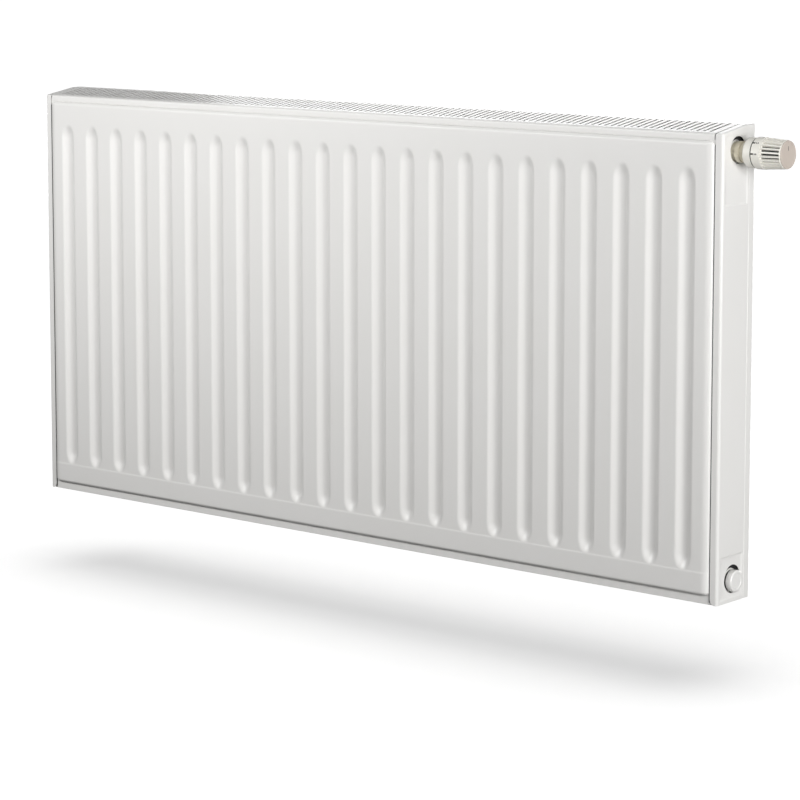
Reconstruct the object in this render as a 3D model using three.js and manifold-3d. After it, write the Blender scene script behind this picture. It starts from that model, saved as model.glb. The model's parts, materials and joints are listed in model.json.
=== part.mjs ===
// A pressed-steel panel radiator, 600 mm high and 1200 mm long, with two water panels, one convector
// sheet, side covers, a top grille, a built-in thermostatic valve and its wall brackets.
//
// Units are millimetres. X runs along the length, right when the radiator is seen from the room,
// the room is towards -Y, the wall is the plane Y = 0, and Z is up with the bottom edge at Z = 0.

import * as THREE from 'three';
import { mergeVertices } from 'three/addons/utils/BufferGeometryUtils.js';
import ManifoldModule from 'manifold-3d';

const wasm = await ManifoldModule();
wasm.setup();

// ---- driving dimensions ---------------------------------------------------------------------------

const LENGTH = 1200;
const HEIGHT = 600;
const DEPTH = 80;
const WALL_GAP = 30;
const CHANNEL_PITCH = 50;
const SHEET = 1.2;
const GAP = 0.3;

const FRONT_Y = -(WALL_GAP + DEPTH);
const REAR_Y = -WALL_GAP;
const MID_Y = (FRONT_Y + REAR_Y) / 2;
const HALF = LENGTH / 2;

const PRESS_DEPTH = 5.8;
const PANEL_HALF_WIDTH = 577;
const PANEL_EDGE_RUN = 10.5;
const PANEL_BOTTOM = 11;
const PANEL_TOP = 582;
const PANEL_HEADER_RUN = 5;
const PANEL_CORNER = 8;
const SEAM_HALF_WIDTH = 594;
const SEAM_TOP = 588;
const GROOVE_HALF_WIDTH = 13;
const GROOVE_FLOOR_HALF_WIDTH = 4;
const GROOVE_BOTTOM = 45;
const GROOVE_TOP = 546;
const GROOVE_END_RUN = 10;
const PANEL_THICKNESS = 2 * (PRESS_DEPTH + SHEET) + GAP;

const TEE_X = 568;
const LOW_PORT_Z = 27;
const HIGH_PORT_Z = 567;
const TEE_RADIUS = 13;
const PASSAGE_RADIUS = 8;
const PORT_INSET = 5;
const HIGH_BOSS_RADIUS = 15;
const LOW_BOSS_RADIUS = 15.5;

const CONVECTOR_DEPTH = 46;
const CONVECTOR_SHEET = 0.6;
const CONVECTOR_PITCH = 25;
const CONVECTOR_LEFT = -540;
const CONVECTOR_RIGHT = 460;
const CONVECTOR_BOTTOM = 50;
const CONVECTOR_TOP = 540;

const COVER_INSET = 4.3;
const COVER_FLANGE = 11;
const COVER_FRONT_TOP = 591;
const COVER_SLOPE_END = 58;
const HIGH_HOLE_RADIUS = 17;
const LOW_HOLE_RADIUS = 18;
const HOLE_RISE = 2.2;

const GRILLE_HALF_LENGTH = HALF - COVER_FLANGE - 1.8;
const GRILLE_LIP_BOTTOM = PANEL_TOP + 1;
const SLOT_PITCH = 10;
const SLOT_WIDTH = 4;
const SLOT_COUNT = 116;
const SLOT_FRONT = 9;
const SLOT_REAR = 66;

const LUG_X = 400;
const LUG_HEIGHT = 35;
const LUG_LEVELS = { upper: 450, lower: 100 };

// ---- finishes -------------------------------------------------------------------------------------

const finish = (color, roughness, metalness = 0) => ({ color, roughness, metalness });
const WHITE_PAINT = finish(0xf1f0ed, 0.35);
const GREY_STEEL = finish(0xc9c9c6, 0.45, 0.6);
const ZINC = finish(0xb9bcbd, 0.38, 0.9);
const BRASS = finish(0xc9ad6b, 0.32, 0.95);
const CREAM_PLASTIC = finish(0xf0ede4, 0.42);
const PALE_GREY_PLASTIC = finish(0xdedcd6, 0.5);
const BLACK_RUBBER = finish(0x1d1d1d, 0.8);

// ---- solids and booleans --------------------------------------------------------------------------

function signedVolume(position, index) {
  const a = new THREE.Vector3();
  const b = new THREE.Vector3();
  const c = new THREE.Vector3();
  let volume = 0;
  for (let i = 0; i < index.length; i += 3) {
    a.fromBufferAttribute(position, index[i]);
    b.fromBufferAttribute(position, index[i + 1]);
    c.fromBufferAttribute(position, index[i + 2]);
    volume += a.dot(b.cross(c)) / 6;
  }
  return volume;
}

// Welds a geometry's seams, drops triangles that have collapsed at a pole, and faces it outwards.
function closedBody(geometry) {
  const bare = new THREE.BufferGeometry();
  bare.setAttribute('position', geometry.getAttribute('position').clone());
  if (geometry.index) bare.setIndex(geometry.index.clone());
  const welded = mergeVertices(bare, 1e-4);
  const kept = [];
  for (let i = 0; i < welded.index.count; i += 3) {
    const [a, b, c] = [0, 1, 2].map((step) => welded.index.getX(i + step));
    if (a !== b && b !== c && c !== a) kept.push(a, b, c);
  }
  if (signedVolume(welded.getAttribute('position'), kept) < 0) kept.reverse();
  welded.setIndex(kept);
  return welded;
}

function solid(geometry) {
  const body = closedBody(geometry);
  return new wasm.Manifold(new wasm.Mesh({
    numProp: 3,
    vertProperties: new Float32Array(body.getAttribute('position').array),
    triVerts: new Uint32Array(body.index.array),
  }));
}

function shell(manifold) {
  const mesh = manifold.getMesh();
  const geometry = new THREE.BufferGeometry();
  geometry.setAttribute('position', new THREE.BufferAttribute(new Float32Array(mesh.vertProperties), 3));
  geometry.setIndex(new THREE.BufferAttribute(new Uint32Array(mesh.triVerts), 1));
  return geometry;
}

const join = (solids) => solids.reduce((whole, next) => whole.add(next));

// A box between two corners.
function block(x0, x1, y0, y1, z0, z1) {
  const geometry = new THREE.BoxGeometry(x1 - x0, y1 - y0, z1 - z0);
  geometry.translate((x0 + x1) / 2, (y0 + y1) / 2, (z0 + z1) / 2);
  return solid(geometry);
}

const outline = (points) => new THREE.Shape(points.map(([u, v]) => new THREE.Vector2(u, v)));

function bar(points, length) {
  return new THREE.ExtrudeGeometry(outline(points), { depth: length, bevelEnabled: false });
}

// A profile in the YZ plane, extruded from x0 to x1.
function barAlongX(points, x0, x1) {
  const geometry = bar(points, x1 - x0);
  const axes = new THREE.Matrix4().makeBasis(
    new THREE.Vector3(0, 1, 0), new THREE.Vector3(0, 0, 1), new THREE.Vector3(1, 0, 0));
  geometry.applyMatrix4(axes);
  geometry.translate(x0, 0, 0);
  return geometry;
}

// A plan in the XY plane, extruded from z0 to z1.
function barAlongZ(points, z0, z1) {
  const geometry = bar(points, z1 - z0);
  geometry.translate(0, 0, z0);
  return geometry;
}

// A sheet of even thickness that follows a line, as a closed outline with mitred corners.
function ribbon(line, thickness) {
  const points = line.map(([u, v]) => new THREE.Vector2(u, v));
  const normals = points.slice(1).map((point, i) => {
    const along = point.clone().sub(points[i]).normalize();
    return new THREE.Vector2(-along.y, along.x);
  });
  const shift = points.map((_, i) => {
    const before = normals[Math.max(i - 1, 0)];
    const after = normals[Math.min(i, normals.length - 1)];
    return before.clone().add(after).multiplyScalar(thickness / 2 / (1 + before.dot(after)));
  });
  const left = points.map((point, i) => point.clone().add(shift[i]).toArray());
  const right = points.map((point, i) => point.clone().sub(shift[i]).toArray());
  return [...left, ...right.reverse()];
}

// A solid that changes from one outline in the XZ plane to another along Y. Both have as many points.
function taper(outlineAt, y0, y1) {
  const near = outlineAt(y0);
  const far = outlineAt(y1);
  const count = near.length;
  const position = [...near.map(([x, z]) => [x, y0, z]), ...far.map(([x, z]) => [x, y1, z])];
  const index = [];
  for (let i = 0; i < count; i += 1) {
    const next = (i + 1) % count;
    index.push(i, next, count + next, i, count + next, count + i);
  }
  for (let i = 1; i < count - 1; i += 1) {
    index.push(0, i + 1, i, count, count + i, count + i + 1);
  }
  const geometry = new THREE.BufferGeometry();
  geometry.setAttribute('position', new THREE.Float32BufferAttribute(position.flat(), 3));
  geometry.setIndex(index);
  return solid(geometry);
}

// A rectangle in the XZ plane with its corners cut off.
function cutRectangle(x0, x1, z0, z1, cutX, cutZ) {
  return [
    [x0 + cutX, z0], [x1 - cutX, z0], [x1, z0 + cutZ], [x1, z1 - cutZ],
    [x1 - cutX, z1], [x0 + cutX, z1], [x0, z1 - cutZ], [x0, z0 + cutZ],
  ];
}

// A turned piece on the X axis, from [x, radius] points that start and end on the axis or close.
function turned(profile, segments = 20) {
  const geometry = new THREE.LatheGeometry(profile.map(([x, r]) => new THREE.Vector2(r, x)), segments);
  geometry.rotateZ(-Math.PI / 2);
  return closedBody(geometry);
}

// A tube or ring on the X axis.
function ring(x0, x1, inner, outer, segments = 20) {
  return turned([[x0, inner], [x0, outer], [x1, outer], [x1, inner], [x0, inner]], segments);
}

function rod(x0, x1, radius, segments = 16) {
  return turned([[x0, 0], [x0, radius], [x1, radius], [x1, 0]], segments);
}

function moved(geometry, x, y, z) {
  return geometry.clone().translate(x, y, z);
}

// Turns a piece made on the X axis so that its axis runs along Y, or up along Z.
const alongY = (geometry) => geometry.clone().rotateZ(Math.PI / 2);
const alongZ = (geometry) => geometry.clone().rotateY(-Math.PI / 2);

function mirroredInX(geometry) {
  const copy = geometry.clone();
  copy.scale(-1, 1, 1);
  return closedBody(copy);
}

// ---- assembly -------------------------------------------------------------------------------------

const radiator = new THREE.Group();
radiator.name = 'radiator';

function addPiece(name, geometry, look, parent = radiator) {
  const mesh = new THREE.Mesh(geometry, new THREE.MeshStandardMaterial(look));
  mesh.name = name;
  parent.add(mesh);
  return mesh;
}

// ---- water panels ---------------------------------------------------------------------------------

const grooveCount = LENGTH / CHANNEL_PITCH - 1;
const grooveCentres = Array.from({ length: grooveCount }, (_, i) => (i + 1) * CHANNEL_PITCH - HALF);

// The raised field of a sheet at a depth behind its face: it widens towards the seam.
function fieldOutline(depth) {
  const side = PANEL_HALF_WIDTH + depth * PANEL_EDGE_RUN / PRESS_DEPTH;
  const rise = (PRESS_DEPTH - depth) * PANEL_HEADER_RUN / PRESS_DEPTH;
  return cutRectangle(-side, side, PANEL_BOTTOM + rise, PANEL_TOP - rise, PANEL_CORNER, PANEL_CORNER);
}

// A groove narrows and shortens from the sheet's face down to its floor on the seam plane.
function grooveOutline(centre, depth, fine) {
  const slope = (GROOVE_HALF_WIDTH - GROOVE_FLOOR_HALF_WIDTH) / PRESS_DEPTH;
  const half = GROOVE_HALF_WIDTH - slope * depth;
  const run = depth * GROOVE_END_RUN / PRESS_DEPTH;
  const [x0, x1] = [centre - half, centre + half];
  const [z0, z1] = [GROOVE_BOTTOM + run, GROOVE_TOP - run];
  if (fine) return cutRectangle(x0, x1, z0, z1, half * 0.55, half * 0.55);
  return [[x0, z0], [x1, z0], [x1, z1], [x0, z1]];
}

// One pressed sheet with its face on Y = 0 towards -Y. The same pressing, moved back by the sheet's
// thickness, hollows it out.
function pressedSheet({ fine, passages }) {
  const pressing = (shift, overrun) => {
    const back = PRESS_DEPTH + SHEET + overrun;
    const field = taper((y) => fieldOutline(y - shift), shift, back);
    const grooves = grooveCentres.map((centre) => {
      const floor = overrun > 0 ? back + 1 : PRESS_DEPTH;
      return taper((y) => grooveOutline(centre, y - shift, fine), shift - 1, floor);
    });
    return { field, grooves: join(grooves) };
  };
  const outer = pressing(0, 0);
  const inner = pressing(SHEET, 0.5);
  const seam = block(-SEAM_HALF_WIDTH, SEAM_HALF_WIDTH, PRESS_DEPTH, PRESS_DEPTH + SHEET, 0, SEAM_TOP);
  const sheet = seam.add(outer.field).subtract(outer.grooves);
  const hollow = inner.field.subtract(inner.grooves);
  let pressed = sheet.subtract(hollow);
  if (passages) {
    for (const x of [-TEE_X, TEE_X]) {
      for (const z of [LOW_PORT_Z, HIGH_PORT_Z]) {
        const drill = moved(alongY(rod(-2, 4, PASSAGE_RADIUS, 12)), x, 0, z);
        pressed = pressed.subtract(solid(drill));
      }
    }
  }
  return shell(pressed);
}

const visibleSheet = pressedSheet({ fine: true, passages: false });
const plainSheet = pressedSheet({ fine: false, passages: false });
const drilledSheet = pressedSheet({ fine: false, passages: true });

function addSheet(name, geometry, y, facesWall) {
  const sheet = addPiece(name, geometry, WHITE_PAINT);
  sheet.position.y = y;
  if (facesWall) sheet.rotation.z = Math.PI;
}

addSheet('front_panel_outer_sheet', visibleSheet, FRONT_Y, false);
addSheet('front_panel_inner_sheet', drilledSheet, FRONT_Y + PANEL_THICKNESS, true);
addSheet('rear_panel_inner_sheet', drilledSheet, REAR_Y - PANEL_THICKNESS, false);
addSheet('rear_panel_outer_sheet', plainSheet, REAR_Y, true);

const INNER_FRONT_Y = FRONT_Y + PANEL_THICKNESS + GAP;
const INNER_REAR_Y = REAR_Y - PANEL_THICKNESS - GAP;

// ---- convector sheet ------------------------------------------------------------------------------

// A square wave of thin sheet, welded by its flats to the back of the front panel.
function convectorLine() {
  const near = INNER_FRONT_Y + CONVECTOR_SHEET / 2;
  const far = near + CONVECTOR_DEPTH;
  const line = [[CONVECTOR_LEFT, near]];
  for (let x = CONVECTOR_LEFT + CONVECTOR_PITCH / 2; x < CONVECTOR_RIGHT; x += CONVECTOR_PITCH) {
    const next = x + CONVECTOR_PITCH / 2;
    line.push([x, near], [x, far], [next, far], [next, near]);
  }
  line.push([CONVECTOR_RIGHT + CONVECTOR_PITCH / 2, near]);
  return line;
}

addPiece('convector_sheet',
  barAlongZ(ribbon(convectorLine(), CONVECTOR_SHEET), CONVECTOR_BOTTOM, CONVECTOR_TOP), GREY_STEEL);

// ---- corner tees and the valve pipework -----------------------------------------------------------

// A tee joins both panels at a corner and carries one threaded port out through the side cover.
function cornerTee(portZ, portRadius, boreRadius, extra = []) {
  const half = (INNER_REAR_Y - INNER_FRONT_Y) / 2;
  const bridge = solid(alongY(rod(-half, half, TEE_RADIUS)));
  const port = solid(rod(0, HALF - PORT_INSET - TEE_X, portRadius));
  const waterway = solid(alongY(rod(-half - 1, half + 1, PASSAGE_RADIUS)));
  const bore = solid(rod(0, HALF - TEE_X, boreRadius));
  const body = join([bridge, port, ...extra.map((piece) => piece.add)]);
  const drilled = [waterway, bore, ...extra.map((piece) => piece.cut)].reduce(
    (rest, tool) => rest.subtract(tool), body);
  return moved(shell(drilled), TEE_X, MID_Y, portZ);
}

const PLUG_THREAD_RADIUS = 10;
const THREAD_BORE = PLUG_THREAD_RADIUS + GAP;
const RISER_X = 540;
const RISER_RADIUS = 7.5;
const RISER_BORE = 5.5;
const BRANCH_Z = -22;

const BRANCH_RADIUS = 10;

const riserSocket = {
  add: solid(alongZ(rod(BRANCH_Z, 0, BRANCH_RADIUS))),
  cut: solid(alongZ(rod(BRANCH_Z - 1, 0, RISER_RADIUS + GAP))),
};
addPiece('valve_tee', cornerTee(HIGH_PORT_Z, HIGH_BOSS_RADIUS, THREAD_BORE, [riserSocket]), WHITE_PAINT);
addPiece('lower_right_tee', cornerTee(LOW_PORT_Z, LOW_BOSS_RADIUS, THREAD_BORE), WHITE_PAINT);
addPiece('upper_left_tee', mirroredInX(cornerTee(HIGH_PORT_Z, HIGH_BOSS_RADIUS, THREAD_BORE)), WHITE_PAINT);
addPiece('lower_left_tee', mirroredInX(cornerTee(LOW_PORT_Z, LOW_BOSS_RADIUS, THREAD_BORE)), WHITE_PAINT);

// The riser climbs from the supply connection at the bottom to the valve tee.
const riserRoute = new THREE.CatmullRomCurve3([
  [RISER_X, MID_Y, 24], [RISER_X, MID_Y, 50], [RISER_X, MID_Y, 70], [RISER_X + 6, MID_Y, 100],
  [TEE_X - 6, MID_Y, 150], [TEE_X, MID_Y, 180], [TEE_X, MID_Y, 210], [TEE_X, MID_Y, 556],
].map((point) => new THREE.Vector3(...point)), false, 'centripetal');

function pipe(route, radius, bore, steps, sides) {
  const section = new THREE.Shape().absarc(0, 0, radius, 0, 2 * Math.PI);
  section.holes.push(new THREE.Path().absarc(0, 0, bore, 0, 2 * Math.PI));
  const shape = { extrudePath: route, steps, bevelEnabled: false, curveSegments: sides };
  return new THREE.ExtrudeGeometry(section, shape);
}

addPiece('riser_pipe', pipe(riserRoute, RISER_RADIUS, RISER_BORE, 12, 5), WHITE_PAINT);

// Supply and return nipples, 50 mm apart, with female threads that open downwards.
const NIPPLE_RADIUS = 14;
const NIPPLE_BORE = 9.5;
const NIPPLE_FACE = 2;
const NIPPLE_TOP = 33;
const NIPPLE_BRIDGE_RADIUS = 11;
const THREAD_END = 20;
const RETURN_X = RISER_X - 50;

function supplyNipple() {
  const top = NIPPLE_TOP + 7;
  const body = solid(alongZ(rod(NIPPLE_FACE, top, NIPPLE_RADIUS)));
  const thread = solid(alongZ(rod(NIPPLE_FACE - 1, THREAD_END, NIPPLE_BORE)));
  const socket = solid(alongZ(rod(THREAD_END - 1, top + 1, RISER_RADIUS + GAP)));
  return moved(shell(body.subtract(thread).subtract(socket)), RISER_X, MID_Y, 0);
}

function returnNipple() {
  const half = (INNER_REAR_Y - INNER_FRONT_Y) / 2;
  const body = solid(alongZ(rod(NIPPLE_FACE, NIPPLE_TOP, NIPPLE_RADIUS)));
  const bridge = solid(moved(alongY(rod(-half, half, NIPPLE_BRIDGE_RADIUS)), 0, 0, LOW_PORT_Z));
  const thread = solid(alongZ(rod(NIPPLE_FACE - 1, LOW_PORT_Z, NIPPLE_BORE)));
  const waterway = solid(moved(alongY(rod(-half - 1, half + 1, PASSAGE_RADIUS)), 0, 0, LOW_PORT_Z));
  return moved(shell(body.add(bridge).subtract(thread).subtract(waterway)), RETURN_X, MID_Y, 0);
}

addPiece('supply_nipple', supplyNipple(), GREY_STEEL);
addPiece('return_nipple', returnNipple(), GREY_STEEL);

// ---- plugs, seals and the air vent ----------------------------------------------------------------

const PORT_FACE = HALF - PORT_INSET;
const THREAD_START = PORT_FACE - 16;
const SEAL_WIDTH = 2;
const SEAL_RADIUS = 13;
const FLANGE_START = PORT_FACE + SEAL_WIDTH + 2 * GAP;
const PLUG_RADIUS = 14;
const PLUG_END = HALF + 6;

const portSeal = ring(PORT_FACE + GAP, PORT_FACE + GAP + SEAL_WIDTH, THREAD_BORE, SEAL_RADIUS);

function blankingPlug() {
  return turned([
    [THREAD_START, 0], [THREAD_START, PLUG_THREAD_RADIUS], [FLANGE_START, PLUG_THREAD_RADIUS],
    [FLANGE_START, PLUG_RADIUS], [PLUG_END - 1.5, PLUG_RADIUS], [PLUG_END, PLUG_RADIUS - 1.5],
    [PLUG_END, 0],
  ]);
}

const VENT_RADIUS = 3;
const VENT_NOZZLE_RADIUS = 7;
const DRIVE_HALF = 2.2;
const DRIVE_START = HALF + 3;
const DRIVE_END = HALF + 8;

function ventPlug() {
  const bore = VENT_RADIUS + GAP;
  return turned([
    [THREAD_START, bore], [THREAD_START, PLUG_THREAD_RADIUS], [FLANGE_START, PLUG_THREAD_RADIUS],
    [FLANGE_START, SEAL_RADIUS], [HALF + 1, SEAL_RADIUS], [DRIVE_START, SEAL_RADIUS - 2],
    [DRIVE_START, VENT_NOZZLE_RADIUS + 0.5], [PLUG_END, VENT_NOZZLE_RADIUS], [PLUG_END, bore],
    [THREAD_START, bore],
  ]);
}

// The bleed screw has a square drive on its outer end.
function ventScrew() {
  const stem = solid(rod(THREAD_START + 2, DRIVE_START + 1, VENT_RADIUS));
  const drive = block(DRIVE_START, DRIVE_END, -DRIVE_HALF, DRIVE_HALF, -DRIVE_HALF, DRIVE_HALF);
  return shell(stem.add(drive));
}

addPiece('lower_right_plug', moved(blankingPlug(), 0, MID_Y, LOW_PORT_Z), WHITE_PAINT);
addPiece('lower_right_seal', moved(portSeal, 0, MID_Y, LOW_PORT_Z), BLACK_RUBBER);
addPiece('lower_left_plug', mirroredInX(moved(blankingPlug(), 0, MID_Y, LOW_PORT_Z)), WHITE_PAINT);
addPiece('lower_left_seal', mirroredInX(moved(portSeal, 0, MID_Y, LOW_PORT_Z)), BLACK_RUBBER);
addPiece('air_vent_plug', mirroredInX(moved(ventPlug(), 0, MID_Y, HIGH_PORT_Z)), ZINC);
addPiece('air_vent_seal', mirroredInX(moved(portSeal, 0, MID_Y, HIGH_PORT_Z)), BLACK_RUBBER);
addPiece('air_vent_screw', mirroredInX(moved(ventScrew(), 0, MID_Y, HIGH_PORT_Z)), BRASS);

// ---- thermostatic valve insert --------------------------------------------------------------------

// Everything on the valve's axis sits in this group, whose origin is on the cover's outer face.
const valveAxis = new THREE.Group();
valveAxis.position.set(HALF, MID_Y, HIGH_PORT_Z);
radiator.add(valveAxis);

const SPINDLE_RADIUS = 2.5;
const SPINDLE_END = 16;
const SPRING_RADIUS = 5;
const SPRING_WIRE = 0.6;
const NECK_END = 12;
const NECK_RADIUS = 11;
const HEX_RADIUS = 12.5;
const DISC_RADIUS = 7;

function valveInsert() {
  const bore = SPINDLE_RADIUS + GAP;
  return turned([
    [-24, bore], [-24, PLUG_THREAD_RADIUS], [-4.6, PLUG_THREAD_RADIUS], [-4.6, HEX_RADIUS],
    [-0.6, HEX_RADIUS], [-0.6, NECK_RADIUS], [NECK_END, NECK_RADIUS], [NECK_END, 7], [2, 7], [2, bore],
    [-24, bore],
  ]);
}

// The spindle carries the valve disc inside and the spring's collar outside.
function valveSpindle() {
  return turned([
    [-30, 0], [-30, DISC_RADIUS], [-27.5, DISC_RADIUS], [-27.5, SPINDLE_RADIUS],
    [11.2, SPINDLE_RADIUS], [11.2, 6], [12.4, 6], [12.4, SPINDLE_RADIUS],
    [SPINDLE_END, SPINDLE_RADIUS], [SPINDLE_END, 0],
  ], 16);
}

// The return spring stands free between the insert's floor and the spindle's collar.
function returnSpring() {
  const [start, end, coils, stepsPerCoil] = [4.4, 8.8, 3, 8];
  const count = coils * stepsPerCoil;
  const points = Array.from({ length: count + 1 }, (_, i) => {
    const angle = 2 * Math.PI * i / stepsPerCoil;
    const along = start + (end - start) * i / count;
    return new THREE.Vector3(along, SPRING_RADIUS * Math.cos(angle), SPRING_RADIUS * Math.sin(angle));
  });
  const route = new THREE.CatmullRomCurve3(points, false, 'centripetal');
  const section = new THREE.Shape().absarc(0, 0, SPRING_WIRE, 0, 2 * Math.PI);
  const shape = { extrudePath: route, steps: count, bevelEnabled: false, curveSegments: 3 };
  return new THREE.ExtrudeGeometry(section, shape);
}

addPiece('valve_insert', valveInsert(), BRASS, valveAxis);
addPiece('valve_spindle', valveSpindle(), ZINC, valveAxis);
addPiece('return_spring', returnSpring(), ZINC, valveAxis);

// ---- thermostatic head ----------------------------------------------------------------------------

const NUT_START = 0.4;
const NUT_END = 14.5;
const NUT_RADIUS = 13.5;
const BASE_START = NUT_END + GAP;
const BASE_FLOOR = 22;
const BASE_END = 28;
const COLLAR_START = 29;
const COLLAR_END = 41;
const GRIP_START = COLLAR_END + GAP;
const GRIP_END = 67;
const CAP_START = GRIP_END + GAP;
const CAP_END = 71.5;
const BASE_RADIUS = 19;
const BASE_HOLE = 9;
const COLLAR_RADIUS = 20;
const COLLAR_BORE = 15.2;
const GRIP_FRONT_RADIUS = 18;
const SPIGOT_RADIUS = 14.5;
const SPIGOT_BORE = 12;
const SPIGOT_END = 60;
const SLOTS_AROUND = 24;
const SLOT_END_WALL = 1;
const GRIP_SLOT_WIDTH = 2;
const GRIP_SLOT_FLOOR = 16.7;

function headBase() {
  return turned([
    [BASE_START, BASE_HOLE], [BASE_START, BASE_RADIUS - 2], [BASE_START + 2, BASE_RADIUS],
    [BASE_END, BASE_RADIUS], [BASE_END, SPIGOT_RADIUS], [SPIGOT_END, SPIGOT_RADIUS],
    [SPIGOT_END, SPIGOT_BORE], [BASE_FLOOR, SPIGOT_BORE], [BASE_FLOOR, BASE_HOLE],
    [BASE_START, BASE_HOLE],
  ], 24);
}

// A conical sleeve with long grip slots cut into it all round.
function grip() {
  const sleeve = solid(turned([
    [GRIP_START, COLLAR_BORE], [GRIP_START, COLLAR_RADIUS - 0.4], [GRIP_END, GRIP_FRONT_RADIUS],
    [GRIP_END, COLLAR_BORE], [GRIP_START, COLLAR_BORE],
  ], SLOTS_AROUND));
  const slotLength = GRIP_END - GRIP_START - 2 * SLOT_END_WALL;
  const slotHeight = 5;
  const slots = Array.from({ length: SLOTS_AROUND }, (_, i) => {
    const cutter = new THREE.BoxGeometry(slotLength, GRIP_SLOT_WIDTH, slotHeight);
    cutter.translate((GRIP_START + GRIP_END) / 2, 0, GRIP_SLOT_FLOOR + slotHeight / 2);
    cutter.rotateX((i + 0.5) * 2 * Math.PI / SLOTS_AROUND);
    return solid(cutter);
  });
  return shell(sleeve.subtract(join(slots)));
}

function endCap() {
  return turned([
    [CAP_START, 0], [CAP_START, GRIP_FRONT_RADIUS - 0.3],
    [CAP_END - 1.6, GRIP_FRONT_RADIUS - 0.5], [CAP_END, GRIP_FRONT_RADIUS - 2], [CAP_END, 0],
  ], 32);
}

// The wax sensor: its capsule slides in the base's spigot, and its pin pushes the spindle.
const CAPSULE_START = 40;
const CAPSULE_END = 59;
const CAPSULE_RADIUS = 11;
const PIN_RADIUS = 3;

function sensorCapsule() {
  return turned([
    [CAPSULE_START, 0], [CAPSULE_START, CAPSULE_RADIUS - 2], [CAPSULE_START + 2, CAPSULE_RADIUS],
    [CAPSULE_END - 2, CAPSULE_RADIUS], [CAPSULE_END, CAPSULE_RADIUS - 2], [CAPSULE_END, 0],
  ]);
}

addPiece('union_nut', ring(NUT_START, NUT_END, NECK_RADIUS + GAP, NUT_RADIUS), CREAM_PLASTIC, valveAxis);
addPiece('head_base', headBase(), CREAM_PLASTIC, valveAxis);
addPiece('scale_collar', ring(COLLAR_START, COLLAR_END, COLLAR_BORE, COLLAR_RADIUS, 24),
  CREAM_PLASTIC, valveAxis);
addPiece('hand_grip', grip(), CREAM_PLASTIC, valveAxis);
addPiece('end_cap', endCap(), PALE_GREY_PLASTIC, valveAxis);
addPiece('sensor_capsule', sensorCapsule(), ZINC, valveAxis);
addPiece('pressure_pin', rod(SPINDLE_END + GAP, CAPSULE_START - GAP, PIN_RADIUS), BRASS, valveAxis);

// ---- side covers ----------------------------------------------------------------------------------

const COVER_FRONT_Y = FRONT_Y + COVER_INSET;
const COVER_REAR_Y = REAR_Y - COVER_INSET;
const SLOPE_END_Y = FRONT_Y + COVER_SLOPE_END;

// A channel-shaped cover with a narrow top flange that rises towards the wall. One hole is for the
// valve and one for a plug.
function sideCover() {
  const half = SHEET / 2;
  const inside = HALF - COVER_FLANGE;
  const plan = ribbon([
    [inside, COVER_FRONT_Y + half], [HALF - 1.6, COVER_FRONT_Y + half],
    [HALF - half, COVER_FRONT_Y + 1.6], [HALF - half, COVER_REAR_Y - 1.6],
    [HALF - 1.6, COVER_REAR_Y - half], [inside, COVER_REAR_Y - half],
  ], SHEET);
  const top = ribbon([
    [COVER_FRONT_Y, COVER_FRONT_TOP - half], [SLOPE_END_Y, HEIGHT - half], [COVER_REAR_Y, HEIGHT - half],
  ], SHEET);
  const channel = solid(barAlongZ(plan, 0, HEIGHT)).add(solid(barAlongX(top, inside, HALF)));
  const side = solid(barAlongX([
    [COVER_FRONT_Y - 1, -1], [COVER_REAR_Y + 1, -1], [COVER_REAR_Y + 1, HEIGHT - 0.01],
    [SLOPE_END_Y, HEIGHT - 0.01], [COVER_FRONT_Y - 1, COVER_FRONT_TOP],
  ], HALF - 30, HALF + 5));
  const hole = (radius, portZ) => {
    return solid(moved(rod(-10, 10, radius, 32), HALF, MID_Y, portZ + HOLE_RISE));
  };
  const holes = join([hole(HIGH_HOLE_RADIUS, HIGH_PORT_Z), hole(LOW_HOLE_RADIUS, LOW_PORT_Z)]);
  return shell(channel.intersect(side).subtract(holes));
}

addPiece('side_cover_right', sideCover(), WHITE_PAINT);
addPiece('side_cover_left', mirroredInX(sideCover()), WHITE_PAINT);

// ---- top grille -----------------------------------------------------------------------------------

// A sheet bent over both panels, rising towards the wall, with slots across its depth.
function topGrille() {
  const half = SHEET / 2;
  const line = [
    [COVER_FRONT_Y + half, GRILLE_LIP_BOTTOM], [COVER_FRONT_Y + half, COVER_FRONT_TOP - 2.6],
    [COVER_FRONT_Y + 2.6, COVER_FRONT_TOP - half], [SLOPE_END_Y, HEIGHT - half],
    [COVER_REAR_Y - 2.6, HEIGHT - half], [COVER_REAR_Y - half, HEIGHT - 2.6],
    [COVER_REAR_Y - half, GRILLE_LIP_BOTTOM],
  ];
  const sheet = solid(barAlongX(ribbon(line, SHEET), -GRILLE_HALF_LENGTH, GRILLE_HALF_LENGTH));
  const slots = Array.from({ length: SLOT_COUNT }, (_, i) => {
    const x = (i - (SLOT_COUNT - 1) / 2) * SLOT_PITCH;
    const [y0, y1] = [FRONT_Y + SLOT_FRONT, FRONT_Y + SLOT_REAR];
    return block(x - SLOT_WIDTH / 2, x + SLOT_WIDTH / 2, y0, y1, HEIGHT - 20, HEIGHT + 5);
  });
  return shell(sheet.subtract(join(slots)));
}

addPiece('top_grille', topGrille(), WHITE_PAINT);

// A spring clip at mid length hooks the grille to the convector.
const CLIP_TOP = HEIGHT - 14;
const clipLine = [
  [MID_Y - 8, CONVECTOR_TOP + 2], [MID_Y - 8, CLIP_TOP - 4], [MID_Y - 4, CLIP_TOP],
  [MID_Y + 4, CLIP_TOP], [MID_Y + 8, CLIP_TOP - 4], [MID_Y + 8, CONVECTOR_TOP + 2],
];
addPiece('grille_clip', barAlongX(ribbon(clipLine, 0.8), -6, 6), ZINC);

// ---- hanging lugs and wall brackets ---------------------------------------------------------------

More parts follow.
